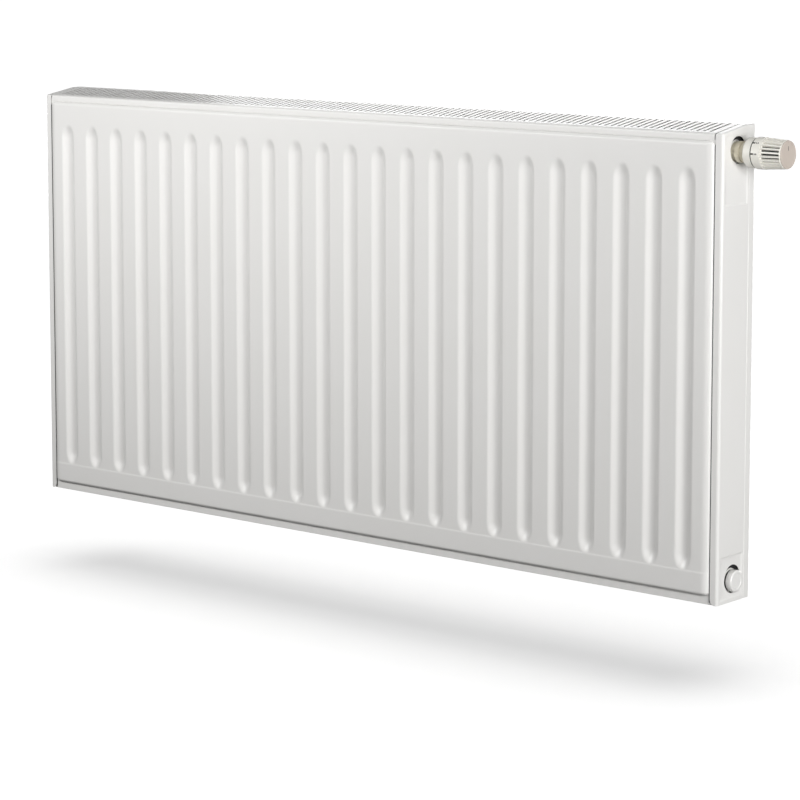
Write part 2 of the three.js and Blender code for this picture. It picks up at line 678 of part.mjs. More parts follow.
const LUG_SHEET = 2;
const LUG_BRIDGE_Y = REAR_Y + 12;
const ARM_SHEET = 4;
const PRONG_Y = REAR_Y + 5.5;
const RAIL_THICKNESS = 2.5;
const RAIL_HALF_WIDTH = 15;
const ARM_HALF_WIDTH = 6;
const RAIL_BOTTOM = 70;
const RAIL_TOP = 530;
const SCREW_HOLES = { upper: 500, lower: 160 };

// A lug is a hat-shaped strap that bridges one groove of the rear panel.
function hangingLug() {
  const footY = REAR_Y + GAP + LUG_SHEET / 2;
  return barAlongZ(ribbon([
    [-22, footY], [-15, footY], [-12, LUG_BRIDGE_Y], [12, LUG_BRIDGE_Y], [15, footY], [22, footY],
  ], LUG_SHEET), 0, LUG_HEIGHT);
}

// The lug stands on the arm, and the prong behind it keeps it on.
function bracketArm(lugBottom) {
  const centre = lugBottom - GAP - ARM_SHEET / 2;
  const hook = ribbon([
    [-RAIL_THICKNESS + 0.5, centre], [PRONG_Y, centre], [PRONG_Y, lugBottom + 22],
  ], ARM_SHEET);
  return solid(barAlongX(hook, -ARM_HALF_WIDTH, ARM_HALF_WIDTH));
}

function wallBracket() {
  const rail = block(-RAIL_HALF_WIDTH, RAIL_HALF_WIDTH, -RAIL_THICKNESS, 0, RAIL_BOTTOM, RAIL_TOP);
  const arms = Object.values(LUG_LEVELS).map(bracketArm);
  const holes = Object.values(SCREW_HOLES).map((z) => solid(moved(alongY(rod(-5, 5, 3.5, 16)), 0, 0, z)));
  return shell(join([rail, ...arms]).subtract(join(holes)));
}

// A plastic sleeve that fits over a prong and stops metal noise.
function hookSleeve() {
  const [wall, half] = [1.2, ARM_SHEET / 2];
  const y = PRONG_Y;
  const cap = block(-ARM_HALF_WIDTH - wall, ARM_HALF_WIDTH + wall, y - half - wall, y + half + wall, 6, 24);
  const socket = block(-ARM_HALF_WIDTH - GAP, ARM_HALF_WIDTH + GAP, y - half - GAP, y + half + GAP, 5, 22.5);
  return shell(cap.subtract(socket));
}

for (const [side, centre] of [['right', LUG_X], ['left', -LUG_X]]) {
  const group = new THREE.Group();
  group.position.x = centre;
  radiator.add(group);
  addPiece(`wall_bracket_${side}`, wallBracket(), ZINC, group);
  for (const [level, z] of Object.entries(LUG_LEVELS)) {
    addPiece(`${level}_lug_${side}`, hangingLug(), WHITE_PAINT, group).position.z = z;
    addPiece(`${level}_hook_sleeve_${side}`, hookSleeve(), PALE_GREY_PLASTIC, group).position.z = z;
  }
}

export default radiator;
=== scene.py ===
"""A white pressed-steel panel radiator with a built-in thermostatic valve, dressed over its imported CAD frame.

Lengths inside the classes are in millimetres, as on a maker's drawing, and one function turns them into the
metres that every object is built in. X runs along the radiator, -Y faces the room and Z is up.
"""
from __future__ import annotations

import json
import logging
import math
from collections.abc import Callable, Iterable, Sequence
from dataclasses import dataclass, field
from enum import Enum
from typing import Any

import bmesh
import bpy
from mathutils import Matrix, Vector

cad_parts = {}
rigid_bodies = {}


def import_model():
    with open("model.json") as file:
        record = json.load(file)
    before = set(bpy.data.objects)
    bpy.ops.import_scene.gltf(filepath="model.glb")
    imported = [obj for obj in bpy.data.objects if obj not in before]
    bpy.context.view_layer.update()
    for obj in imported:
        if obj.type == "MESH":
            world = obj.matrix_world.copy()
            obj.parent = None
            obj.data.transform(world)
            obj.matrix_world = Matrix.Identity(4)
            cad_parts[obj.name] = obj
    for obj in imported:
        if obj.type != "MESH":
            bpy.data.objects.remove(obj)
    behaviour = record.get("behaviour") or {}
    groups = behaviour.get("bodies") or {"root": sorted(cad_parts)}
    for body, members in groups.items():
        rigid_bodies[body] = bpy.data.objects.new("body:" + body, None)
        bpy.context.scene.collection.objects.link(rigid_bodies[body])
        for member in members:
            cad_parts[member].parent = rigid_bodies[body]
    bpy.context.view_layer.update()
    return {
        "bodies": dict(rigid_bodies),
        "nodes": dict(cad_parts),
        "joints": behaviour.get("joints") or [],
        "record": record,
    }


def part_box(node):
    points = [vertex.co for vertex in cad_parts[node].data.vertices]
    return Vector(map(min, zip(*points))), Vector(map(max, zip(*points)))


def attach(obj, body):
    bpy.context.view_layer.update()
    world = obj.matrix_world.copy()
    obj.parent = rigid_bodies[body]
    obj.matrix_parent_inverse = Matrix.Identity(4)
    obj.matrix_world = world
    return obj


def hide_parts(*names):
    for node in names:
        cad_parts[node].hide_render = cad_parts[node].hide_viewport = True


LOG = logging.getLogger("radiator")
MM = 0.001
ORIGIN = (0.0, 0.0, 0.0)

Point2 = tuple[float, float]
Point3 = tuple[float, float, float]
Face = tuple[int, ...]


# ---- colours and nodes ----------------------------------------------------------------------------------


def linear(code: str, alpha: float = 1.0) -> tuple[float, float, float, float]:
    """Turns an sRGB hex colour into Blender's linear values.

    Args:
        code: Six hex digits, with or without a leading hash.
        alpha: The fourth value.

    Returns:
        Red, green, blue and alpha.
    """
    digits = code.lstrip("#")
    levels = [int(digits[i : i + 2], 16) / 255 for i in (0, 2, 4)]
    red, green, blue = (v / 12.92 if v <= 0.04045 else ((v + 0.055) / 1.055) ** 2.4 for v in levels)
    return (red, green, blue, alpha)


def add_node(
    tree: bpy.types.NodeTree, kind: str, inputs: dict[Any, Any] | None = None, **settings: Any
) -> Any:
    """Adds one shader node.

    Args:
        tree: The tree that gets the node.
        kind: Blender's name for the node's type.
        inputs: Input name or number to a value, or to an output socket to link from.
        settings: Attributes to set on the node.

    Returns:
        The node.
    """
    node = tree.nodes.new(kind)
    for name, value in settings.items():
        setattr(node, name, value)
    for key, value in (inputs or {}).items():
        if isinstance(value, bpy.types.NodeSocket):
            tree.links.new(value, node.inputs[key])
        else:
            node.inputs[key].default_value = value
    return node


def per_metre(size_mm: float) -> float:
    """The texture scale whose features measure size_mm, on coordinates in metres."""
    return 1.0 / (size_mm * MM)


@dataclass(frozen=True)
class Finish:
    """A real material with the way its surface was made.

    Args:
        name: The material's name.
        slot: The record's material slot.
        colour: Its main sRGB colour.
        shade: A second sRGB colour that it drifts towards in soft patches.
        roughness: How matt it is.
        metallic: 1 for a bare metal, 0 otherwise.
        patch_mm: The size of the colour's patches.
        grain_mm: The size of the surface's fine relief.
        grain_depth_mm: How deep that relief is.
        gloss_drift: How far the roughness wanders either way.
    """

    name: str
    slot: str
    colour: str
    shade: str
    roughness: float
    metallic: float = 0.0
    patch_mm: float = 60.0
    grain_mm: float = 1.0
    grain_depth_mm: float = 0.01
    gloss_drift: float = 0.03

    def relief(self, tree: bpy.types.NodeTree, place: Any) -> Any:
        """Draws the fine relief.

        Args:
            tree: The material's tree.
            place: The coordinates, as an output socket.

        Returns:
            The relief's height, as an output socket.
        """
        scale = per_metre(self.grain_mm)
        grain = add_node(tree, "ShaderNodeTexNoise", {"Vector": place, "Scale": scale, "Detail": 2.0})
        return grain.outputs["Fac"]

    def extra(self, shader: Any) -> None:
        """Sets what else the shader needs. A plain finish needs nothing."""

    def build(self) -> bpy.types.Material:
        """Makes the material.

        Returns:
            The material, with its node tree filled in.
        """
        material = bpy.data.materials.new(self.name)
        material.use_nodes = True
        material.diffuse_color = linear(self.colour)
        tree = material.node_tree
        shader = next(n for n in tree.nodes if n.type == "BSDF_PRINCIPLED")
        place = add_node(tree, "ShaderNodeTexCoord").outputs["Object"]
        patch = add_node(
            tree, "ShaderNodeTexNoise", {"Vector": place, "Scale": per_metre(self.patch_mm), "Detail": 3.0}
        ).outputs["Fac"]
        tone = add_node(
            tree, "ShaderNodeMix", {0: patch, 6: linear(self.colour), 7: linear(self.shade)}, data_type="RGBA"
        )
        tree.links.new(tone.outputs[2], shader.inputs["Base Color"])
        gloss = add_node(
            tree,
            "ShaderNodeMapRange",
            {
                "Value": patch,
                "To Min": self.roughness - self.gloss_drift,
                "To Max": self.roughness + self.gloss_drift,
            },
        )
        tree.links.new(gloss.outputs[0], shader.inputs["Roughness"])
        bump = add_node(
            tree,
            "ShaderNodeBump",
            {"Height": self.relief(tree, place), "Strength": 1.0, "Distance": self.grain_depth_mm * MM},
        )
        tree.links.new(bump.outputs[0], shader.inputs["Normal"])
        shader.inputs["Metallic"].default_value = self.metallic
        self.extra(shader)
        return material


@dataclass(frozen=True)
class PowderCoat(Finish):
    """Baked powder coat on steel: satin, with the long low waves of orange peel and a thin clear skin.

    Args:
        coat: The weight of the clear skin.
    """

    coat: float = 0.25

    def relief(self, tree: bpy.types.NodeTree, place: Any) -> Any:
        """Draws long waves with a ripple on them, a quarter as long and a quarter as deep.

        Args:
            tree: The material's tree.
            place: The coordinates, as an output socket.

        Returns:
            The relief's height, as an output socket.
        """
        waves, ripple = (
            add_node(
                tree, "ShaderNodeTexNoise", {"Vector": place, "Scale": per_metre(length), "Detail": 0.0}
            ).outputs["Fac"]
            for length in (self.grain_mm, self.grain_mm / 4)
        )
        both = add_node(tree, "ShaderNodeMath", {0: ripple, 1: 0.25, 2: waves}, operation="MULTIPLY_ADD")
        return both.outputs[0]

    def extra(self, shader: Any) -> None:
        """Adds the clear skin that baking leaves on the powder.

        Args:
            shader: The material's shader.
        """
        shader.inputs["IOR"].default_value = 1.5
        shader.inputs["Coat Weight"].default_value = self.coat
        shader.inputs["Coat Roughness"].default_value = 0.12


@dataclass(frozen=True)
class ZincCoat(Finish):
    """Hot-dip zinc on steel strip: grey metal with angular spangles.

    Args:
        spangle_mm: The spangles' size.
    """

    spangle_mm: float = 6.0

    def relief(self, tree: bpy.types.NodeTree, place: Any) -> Any:
        """Draws flat crystals that meet at low edges.

        Args:
            tree: The material's tree.
            place: The coordinates, as an output socket.

        Returns:
            The relief's height, as an output socket.
        """
        scale = per_metre(self.spangle_mm)
        cells = add_node(tree, "ShaderNodeTexVoronoi", {"Vector": place, "Scale": scale})
        return cells.outputs["Distance"]


@dataclass(frozen=True)
class TurnedMetal(Finish):
    """Metal turned on a lathe about X: fine rings across the axis."""

    def relief(self, tree: bpy.types.NodeTree, place: Any) -> Any:
        """Draws rings one tool feed apart.

        Args:
            tree: The material's tree.
            place: The coordinates, as an output socket.

        Returns:
            The relief's height, as an output socket.
        """
        rings = add_node(
            tree,
            "ShaderNodeTexWave",
            {"Vector": place, "Scale": per_metre(self.grain_mm * 20), "Distortion": 0.6, "Detail": 1.0},
            bands_direction="X",
        )
        return rings.outputs["Fac"]


@dataclass(frozen=True)
class MouldedPlastic(Finish):
    """Injection-moulded plastic with the faint spark-eroded grain of its mould."""

    def extra(self, shader: Any) -> None:
        """Sets how strongly a dense plastic mirrors light. Args: the shader."""
        shader.inputs["IOR"].default_value = 1.54


# Powder coat has waves about 3 mm long; they are drawn at 5 mm, as short ones don't show.
WHITE_ENAMEL = PowderCoat(
    "powder-coated steel, satin white", "white_enamel", "#f3f2f0", "#f0efec",
    roughness=0.36, patch_mm=90.0, grain_mm=5.0, grain_depth_mm=0.03,
)
# The convector and the pipework get a thinner coat in the same bath, slightly greyer and rougher.
THIN_ENAMEL = PowderCoat(
    "dip-primed steel, matt white", "white_enamel", "#e6e5e1", "#dcdbd6",
    roughness=0.5, patch_mm=40.0, grain_mm=3.0, grain_depth_mm=0.03, gloss_drift=0.05, coat=0.0,
)
# Painted shade: the seam's faces in the narrow crevice beside the side cover are dark grey, standing in for the
# shadow in that gap.
CREVICE_PAINTED_SHADE = PowderCoat(
    "painted shade in the seam's crevice", "white_enamel", "#5d5a55", "#54514c",
    roughness=0.6, patch_mm=20.0, grain_mm=3.0, grain_depth_mm=0.03, gloss_drift=0.05, coat=0.0,
)
# Weathered zinc is a little dull, so it isn't taken as a wholly bare metal.
GALVANISED = ZincCoat(
    "galvanised steel strip", "galvanised_steel", "#c2c5c6", "#b0b4b6",
    roughness=0.42, metallic=0.9, patch_mm=12.0,
)
# The tool marks on turned parts are drawn several times coarser than real ones, as fine ones don't show.
MACHINED = TurnedMetal(
    "turned mild steel", "bare_steel", "#a9a8a5", "#9a9996",
    roughness=0.36, metallic=1.0, patch_mm=10.0, grain_mm=0.4,
)
NICKEL = TurnedMetal(
    "nickel-plated brass, turned", "nickel_plate", "#cfcbc2", "#c4c0b7",
    roughness=0.24, metallic=1.0, patch_mm=8.0, grain_mm=0.3, grain_depth_mm=0.006,
)
BRASS = TurnedMetal(
    "turned brass", "valve_brass", "#d6bd7d", "#c9ad68",
    roughness=0.28, metallic=1.0, patch_mm=8.0, grain_mm=0.3, grain_depth_mm=0.008,
)
# The head's plastics are softly glossy, with a faint grain that only shows in the highlights.
CREAM_ABS = MouldedPlastic(
    "moulded ABS, cream white", "cream_abs", "#f8f6ee", "#f4f1e8",
    roughness=0.4, patch_mm=25.0, grain_mm=0.5, grain_depth_mm=0.006,
)
NUT_ABS = MouldedPlastic(
    "moulded polyamide, ivory", "cream_abs", "#e4ddc8", "#dbd3bb",
    roughness=0.45, patch_mm=12.0, grain_mm=0.5, grain_depth_mm=0.006,
)
CAP_ABS = MouldedPlastic(
    "moulded ABS, warm pale grey", "pale_grey_abs", "#cfc4ba", "#c9bdb3",
    roughness=0.46, patch_mm=15.0, grain_mm=0.4, grain_depth_mm=0.008,
)
SLEEVE_PLASTIC = MouldedPlastic(
    "moulded polypropylene, pale grey", "pale_grey_abs", "#cfcdc9", "#c6c4bf",
    roughness=0.5, patch_mm=10.0, grain_mm=0.6,
)
# Rubber and black plastic are matt. Black pieces put in gaps stand there as painted shadow, so that the gaps
# read as dark lines.
RUBBER_AND_PAINTED_SHADOW = MouldedPlastic(
    "moulded EPDM rubber, black, and painted shadow", "black_rubber", "#1d1d1e", "#161617",
    roughness=0.7, patch_mm=6.0, grain_mm=0.5, grain_depth_mm=0.02,
)
# Painted shadow: flat black for the head's gap and the grip's slot floors, where there is only shade.
SHADOW_BLACK = MouldedPlastic(
    "painted shadow, flat black", "black_rubber", "#0c0c0d", "#080808",
    roughness=0.75, patch_mm=6.0, grain_mm=0.5,
)
PRINT_INK = MouldedPlastic(
    "pad-printed ink, charcoal", "black_rubber", "#2a2926", "#22211f",
    roughness=0.55, patch_mm=4.0, grain_mm=0.3, grain_depth_mm=0.003,
)


class Finishes:
    """Makes each finish once and hands it out again."""

    _made: dict[str, bpy.types.Material] = {}

    @classmethod
    def get(cls, finish: Finish) -> bpy.types.Material:
        """The material of a finish. Args: the finish. Returns: its material."""
        if finish.name not in cls._made:
            cls._made[finish.name] = finish.build()
        return cls._made[finish.name]


# ---- outlines and meshes --------------------------------------------------------------------------------


def fillet(points: Sequence[Point2], radii: Sequence[float], steps: int = 5) -> list[Point2]:
    """Rounds the inner corners of an open line.

    Args:
        points: The line's corners.
        radii: One radius for each point; the first and last aren't used.
        steps: How many chords make each round.

    Returns:
        The line with an arc in place of each corner that has a radius.
    """
    line = [points[0]]
    for before, corner, after, radius in zip(points, points[1:], points[2:], radii[1:]):
        here = Vector(corner)
        to_before = (Vector(before) - here).normalized()
        to_after = (Vector(after) - here).normalized()
        if radius <= 0:
            line.append(corner)
            continue
        half = to_before.angle(to_after) / 2
        run = radius / math.tan(half)
        centre = here + (to_before + to_after).normalized() * (radius / math.sin(half))
        start = here + to_before * run - centre
        end = here + to_after * run - centre
        sweep = start.angle(end)
        for i in range(steps + 1):
            t = i / steps
            arm = (start * math.sin((1 - t) * sweep) + end * math.sin(t * sweep)) / math.sin(sweep)
            line.append(tuple(centre + arm))
    line.append(points[-1])
    return line


def ease(value: float, start: float, end: float) -> float:
    """A smooth step from 0 at start to 1 at end."""
    t = min(max((value - start) / (end - start), 0.0), 1.0)
    return t * t * (3 - 2 * t)


class Surface:
    """Collects faces in millimetres and turns them into one welded object in metres."""

    def __init__(self) -> None:
        """Starts empty."""
        self.points: list[Point3] = []
        self.faces: list[Face] = []
        self.slots: list[int] = []

    def face(self, corners: Iterable[Point3], slot: int = 0) -> None:
        """Adds one face. Args: its corners in order, and its material's number."""
        start = len(self.points)
        self.points.extend(corners)
        self.faces.append(tuple(range(start, len(self.points))))
        self.slots.append(slot)

    def strip(
        self, first: Sequence[Point3], second: Sequence[Point3], closed: bool = False, slot: int = 0
    ) -> None:
        """Joins two lines of points with quads.

        Args:
            first: One line.
            second: The other, with as many points.
            closed: True if the lines are loops.
            slot: The faces' material number.
        """
        count = len(first)
        for i in range(count if closed else count - 1):
            j = (i + 1) % count
            self.face((first[i], first[j], second[j], second[i]), slot)

    def loft(self, lines: Sequence[Sequence[Point3]], closed: bool = False) -> None:
        """Joins each line to the next. Args: the lines, and whether each is a loop."""
        for first, second in zip(lines, lines[1:]):
            self.strip(first, second, closed)

    def revolve(
        self, profile: Sequence[Point2], segments: int, centre: Point3 = ORIGIN, axis: str = "X"
    ) -> None:
        """Turns a profile about an axis through centre.

        Args:
            profile: Points as distance along the axis, and radius.
            segments: Steps round the axis.
            centre: A point on the axis.
            axis: X or Y.
        """
        rings = []
        for along, radius in profile:
            ring = []
            for i in range(segments):
                angle = 2 * math.pi * i / segments
                across, up = radius * math.cos(angle), radius * math.sin(angle)
                offset = (along, across, up) if axis == "X" else (-across, along, up)
                ring.append(tuple(c + o for c, o in zip(centre, offset)))
            rings.append(ring)
        self.loft(rings, closed=True)

    def mirrored(self) -> Surface:
        """The same surface on the other side of X = 0. Returns: a new surface."""
        other = Surface()
        other.points = [(-x, y, z) for x, y, z in self.points]
        other.faces = [tuple(reversed(face)) for face in self.faces]
        other.slots = list(self.slots)
        return other

    def build(
        self,
        name: str,
        finishes: Sequence[Finish],
        sheet_mm: float = 0.0,
        sharp_degrees: float = 32.0,
        outward: bool = True,
        weld_mm: float = 0.005,
    ) -> bpy.types.Object:
        """Makes the object.

        Args:
            name: The object's name.
            finishes: One finish for each material number.
            sheet_mm: The sheet's thickness, added behind the faces, or 0 for a closed body.
            sharp_degrees: Edges that turn more than this are drawn sharp.
            outward: True to turn a closed body's faces outwards.
            weld_mm: Points closer than this become one.

        Returns:
            The object, linked into the scene.
        """
        mesh = bpy.data.meshes.new(name)
        mesh.from_pydata([tuple(v * MM for v in point) for point in self.points], [], self.faces)
        mesh.polygons.foreach_set("material_index", self.slots)
        for finish in finishes:
            mesh.materials.append(Finishes.get(finish))
        shape = bmesh.new()
        shape.from_mesh(mesh)
        bmesh.ops.remove_doubles(shape, verts=shape.verts, dist=weld_mm * MM)
        bmesh.ops.dissolve_degenerate(shape, edges=shape.edges, dist=weld_mm * MM / 5)
        if sheet_mm > 0:
            align(shape)
            thicken(shape, sheet_mm * MM)
        elif outward:
            bmesh.ops.recalc_face_normals(shape, faces=shape.faces)
        limit = math.radians(sharp_degrees)
        for edge in shape.edges:
            edge.smooth = edge.is_manifold and edge.calc_face_angle(0.0) < limit
        for each in shape.faces:
            each.smooth = True
        shape.to_mesh(mesh)
        shape.free()
        piece = bpy.data.objects.new(name, mesh)
        bpy.context.scene.collection.objects.link(piece)
        weigh = piece.modifiers.new("weighted normals", "WEIGHTED_NORMAL")
        weigh.keep_sharp = True
        return piece


def align(shape: bmesh.types.BMesh) -> None:
    """Turns every face of an open sheet to the side that most of its area faces.

    Args:
        shape: The sheet.
    """
    shape.normal_update()
    before = [each.normal.copy() for each in shape.faces]
    bmesh.ops.recalc_face_normals(shape, faces=shape.faces)
    shape.normal_update()
    agreed = sum(each.calc_area() * each.normal.dot(normal) for each, normal in zip(shape.faces, before))
    if agreed < 0:
        bmesh.ops.reverse_faces(shape, faces=shape.faces)


def thicken(shape: bmesh.types.BMesh, thickness: float) -> None:
    """Gives an open sheet its back and its edges.

    Args:
        shape: The sheet, with its faces towards the outside.
        thickness: How far behind the faces the back lies, in metres.
    """
    shape.normal_update()
    verts = list(shape.verts)
    backs = {}
    for vert in verts:
        normals: list[Vector] = []
        for each in vert.link_faces:
            if each.normal.length > 0.5 and all(each.normal.angle(n, 0.0) > 0.2 for n in normals):
                normals.append(each.normal.copy())
        mean = sum(normals, Vector()).normalized() if normals else vert.normal.copy()
        stretch = min(1.0 / max(mean.dot(normals[0]), 0.5), 1.6) if normals else 1.0
        backs[vert] = shape.verts.new(vert.co - mean * thickness * stretch)
    rims = [(e, e.link_loops[0]) for e in shape.edges if e.is_boundary]
    for each in list(shape.faces):
        back = shape.faces.new([backs[v] for v in reversed(each.verts)])
        back.material_index = each.material_index
    for _, loop in rims:
        start, end = loop.vert, loop.link_loop_next.vert
        shape.faces.new([end, start, backs[start], backs[end]]).material_index = loop.face.material_index


def place(piece: bpy.types.Object, body: str, slot: str, *nodes: str) -> None:
    """Makes a piece ride on a body and stand for CAD nodes.

    Args:
        piece: The new object.
        body: The CAD body it moves with.
        slot: The record's material slot. It is not used.
        nodes: The CAD nodes it replaces.
    """
    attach(piece, body)
    if nodes:
        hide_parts(*nodes)
    LOG.info("%s: %d points, on %s", piece.name, len(piece.data.vertices), body)


def box_mm(node: str) -> tuple[Vector, Vector]:
    """A CAD node's lowest and highest corners in millimetres. Args: the node. Returns: both corners."""
    low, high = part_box(node)
    return Vector(low) / MM, Vector(high) / MM


class End(Enum):
    """Which end of the radiator a piece is at."""

    RIGHT = "right"
    LEFT = "left"


# ---- water panels ---------------------------------------------------------------------------------------

# Where the grid has points across a rounded slope, as fractions of it.
EASED_STEPS = (0.16, 0.3, 0.45, 0.6, 0.74, 0.87, 1.0)


@dataclass
class PressedSheet:
    """The outer sheet of a water panel: a raised field with a rounded rim, and grooves between its channels.

    Args:
        node: The CAD sheet that it stands for.
        towards_wall: True for the rear panel's sheet, whose face is to +Y.
        pitch: From one groove to the next.
        press: How far the field stands before the seam.
        sheet: The steel's thickness.
        field_half: Half the field's length.
        field_low: The field's bottom.
        field_high: The field's top.
        side_run: The width of the rim at each side.
        header_run: The width of the rim above and below.
        groove_half: Half a groove's width.
        groove_floor: Half the width of its flat floor.
        groove_low: The grooves' lower ends.
        groove_high: The grooves' upper ends.
        ramp: How long each end takes to run out.
        header_step: How far the bottom header stands before the field.
        header_line: Where the header ends.
        seam_corner: Half the seam's length below the field.
        rim_steps: Steps across the rim.
        corner_steps: Steps round each corner of the rim.
    """

    node: str
    towards_wall: bool
    pitch: float = 50.0
    press: float = 5.8
    sheet: float = 1.2
    field_half: float = 577.0
    field_low: float = 16.0
    field_high: float = 577.0
    side_run: float = 10.5
    header_run: float = 5.0
    groove_half: float = 14.0
    groove_floor: float = 2.2
    groove_low: float = 38.0
    groove_high: float = 551.0
    ramp: float = 22.0
    header_step: float = 0.45
    header_line: float = 39.0
    seam_corner: float = 587.7
    rim_steps: int = 7
    corner_steps: int = 4

    def depth(self, x: float, z: float) -> float:
        """How far behind the face a point of the field lies.

        Args:
            x: The place along the length.
            z: The height.

        Returns:
            The depth in millimetres.
        """
        centre = round(x / self.pitch) * self.pitch
        beyond = max(z - self.groove_high + self.ramp, self.groove_low + self.ramp - z, 0.0)
        away = math.hypot(x - centre, beyond * self.groove_half / self.ramp)
        if abs(centre) > self.field_half - self.pitch / 2:
            away = self.groove_half
        run = (away - self.groove_floor) / (self.groove_half - self.groove_floor)
        groove = self.press * 0.5 * (1 + math.cos(math.pi * min(max(run, 0.0), 1.0)))
        return max(groove, self.step_at(z))

    def step_at(self, z: float) -> float:
        """How far behind the bottom header a height of the field lies. Args: the height."""
        return self.header_step * ease(z, self.header_line, self.header_line + 3.0)

    def across(self) -> list[float]:
        """The grid's places along the length, closer together in each groove."""
        offsets = [f * self.groove_half for f in EASED_STEPS]
        places = {-self.field_half, self.field_half}
        count = int(self.field_half // self.pitch)
        for k in range(-count, count + 1):
            centre = k * self.pitch
            places.update({centre} | {centre + s * o for o in offsets for s in (-1, 1)})
            places.update({centre - self.pitch / 2, centre + self.pitch / 2})
        return sorted(p for p in places if abs(p) <= self.field_half)

    def upward(self) -> list[float]:
        """The grid's heights, closer together at the grooves' ends and at the header's step."""
        low, high = self.groove_low + self.ramp, self.groove_high - self.ramp
        ends = [f * self.ramp for f in (0.0, *EASED_STEPS)]
        places = {self.field_low, self.field_high, self.field_high - 12.0, self.field_low + 12.0}
        places.update({self.header_line + s for s in (-1.0, 0.0, 0.75, 1.5, 2.25, 3.0)})
        places.update({low - e for e in ends} | {high + e for e in ends})
        places.update({low + (high - low) * i / 5 for i in range(1, 5)})
        return sorted(places)

    def rim_loop(self, xs: Sequence[float], zs: Sequence[float], turn: float) -> list[Point3]:
        """One loop round the field on its rounded rim.

        Args:
            xs: The grid's places along the length.
            zs: The grid's heights.
            turn: 0 at the field's edge, and a quarter turn at the seam plane.

        Returns:
            The loop, anticlockwise from the lower left corner when seen from the face.
        """
        side, header = self.side_run * math.sin(turn), self.header_run * math.sin(turn)
        drop = self.press * (1 - math.cos(turn))
        x0, x1, z0, z1 = xs[0], xs[-1], zs[0], zs[-1]
        corners = [(x1, z0, -math.pi / 2), (x1, z1, 0.0), (x0, z1, math.pi / 2), (x0, z0, math.pi)]
        straights = [
            [(x, z0 - header) for x in xs],
            [(x1 + side, z) for z in zs],
            [(x, z1 + header) for x in reversed(xs)],
            [(x0 - side, z) for z in reversed(zs)],
        ]
        loop: list[Point3] = []
        for straight, (cx, cz, start) in zip(straights, corners):
            loop.extend(self.on_rim(x, z, drop) for x, z in straight)
            for i in range(1, self.corner_steps):
                angle = start + i / self.corner_steps * math.pi / 2
                loop.append(self.on_rim(cx + side * math.cos(angle), cz + header * math.sin(angle), drop))
        return loop

    def on_rim(self, x: float, z: float, drop: float) -> Point3:
        """A point of the rim, where the header's step fades out. Args: x, z and the drop."""
        return (x, drop + self.step_at(z) * (1 - drop / self.press), z)

    def seam_loop(self, loop: Sequence[Point3], half: float, top: float) -> list[Point3]:
        """The seam flange's outer edge, point for point with the rim's last loop.

        Args:
            loop: The rim's last loop.
            half: Half the flange's length.
            top: The flange's top.

        Returns:
            The outer loop on the seam plane.
        """
        out = []
        for x, _, z in loop:
            reach = half if z >= self.field_low else self.seam_corner
            edge_x = x if abs(x) <= self.field_half else math.copysign(reach, x)
            edge_z = top if z > self.field_high else 0.0
            if self.field_low <= z <= self.field_high:
                edge_z = z
            out.append((edge_x, self.press, edge_z))
        return out

    def build(self) -> bpy.types.Object:
        """Makes the sheet in place of its CAD node.

        Returns:
            The object.
        """
        low, high = box_mm(self.node)
        xs, zs = self.across(), self.upward()
        surface = Surface()
        rows = [[(x, self.depth(x, z), z) for x in xs] for z in zs]
        surface.loft(rows)
        turns = [math.pi / 2 * i / self.rim_steps for i in range(self.rim_steps + 1)]
        loops = [self.rim_loop(xs, zs, turn) for turn in turns]
        loops.append(self.seam_loop(loops[-1], high.x, high.z))
        surface.loft([list(reversed(loop)) for loop in loops], closed=True)
        # The seam's faces in the crevice are painted dark grey as shade.
        self.paint_crevice_shade(surface)
        if self.towards_wall:
            surface.points = [(-x, high.y - y, z) for x, y, z in surface.points]
        else:
            surface.points = [(x, low.y + y, z) for x, y, z in surface.points]
        piece = surface.build(f"{self.node}_pressed", [WHITE_ENAMEL, CREVICE_PAINTED_SHADE], self.sheet)
        place(piece, "radiator", WHITE_ENAMEL.slot, self.node)
        return piece

    def paint_crevice_shade(self, surface: Surface) -> None:
        """Paints shade on the seam beside the field: its faces in the crevice get the dark grey of painted
        shadow. Args: the surface to change.
        """
        rim = self.field_half + self.side_run - 0.01
        for i, face in enumerate(surface.faces):
            if all(abs(surface.points[k][0]) > rim for k in face):
                surface.slots[i] = 1


# ---- side covers ----------------------------------------------------------------------------------------


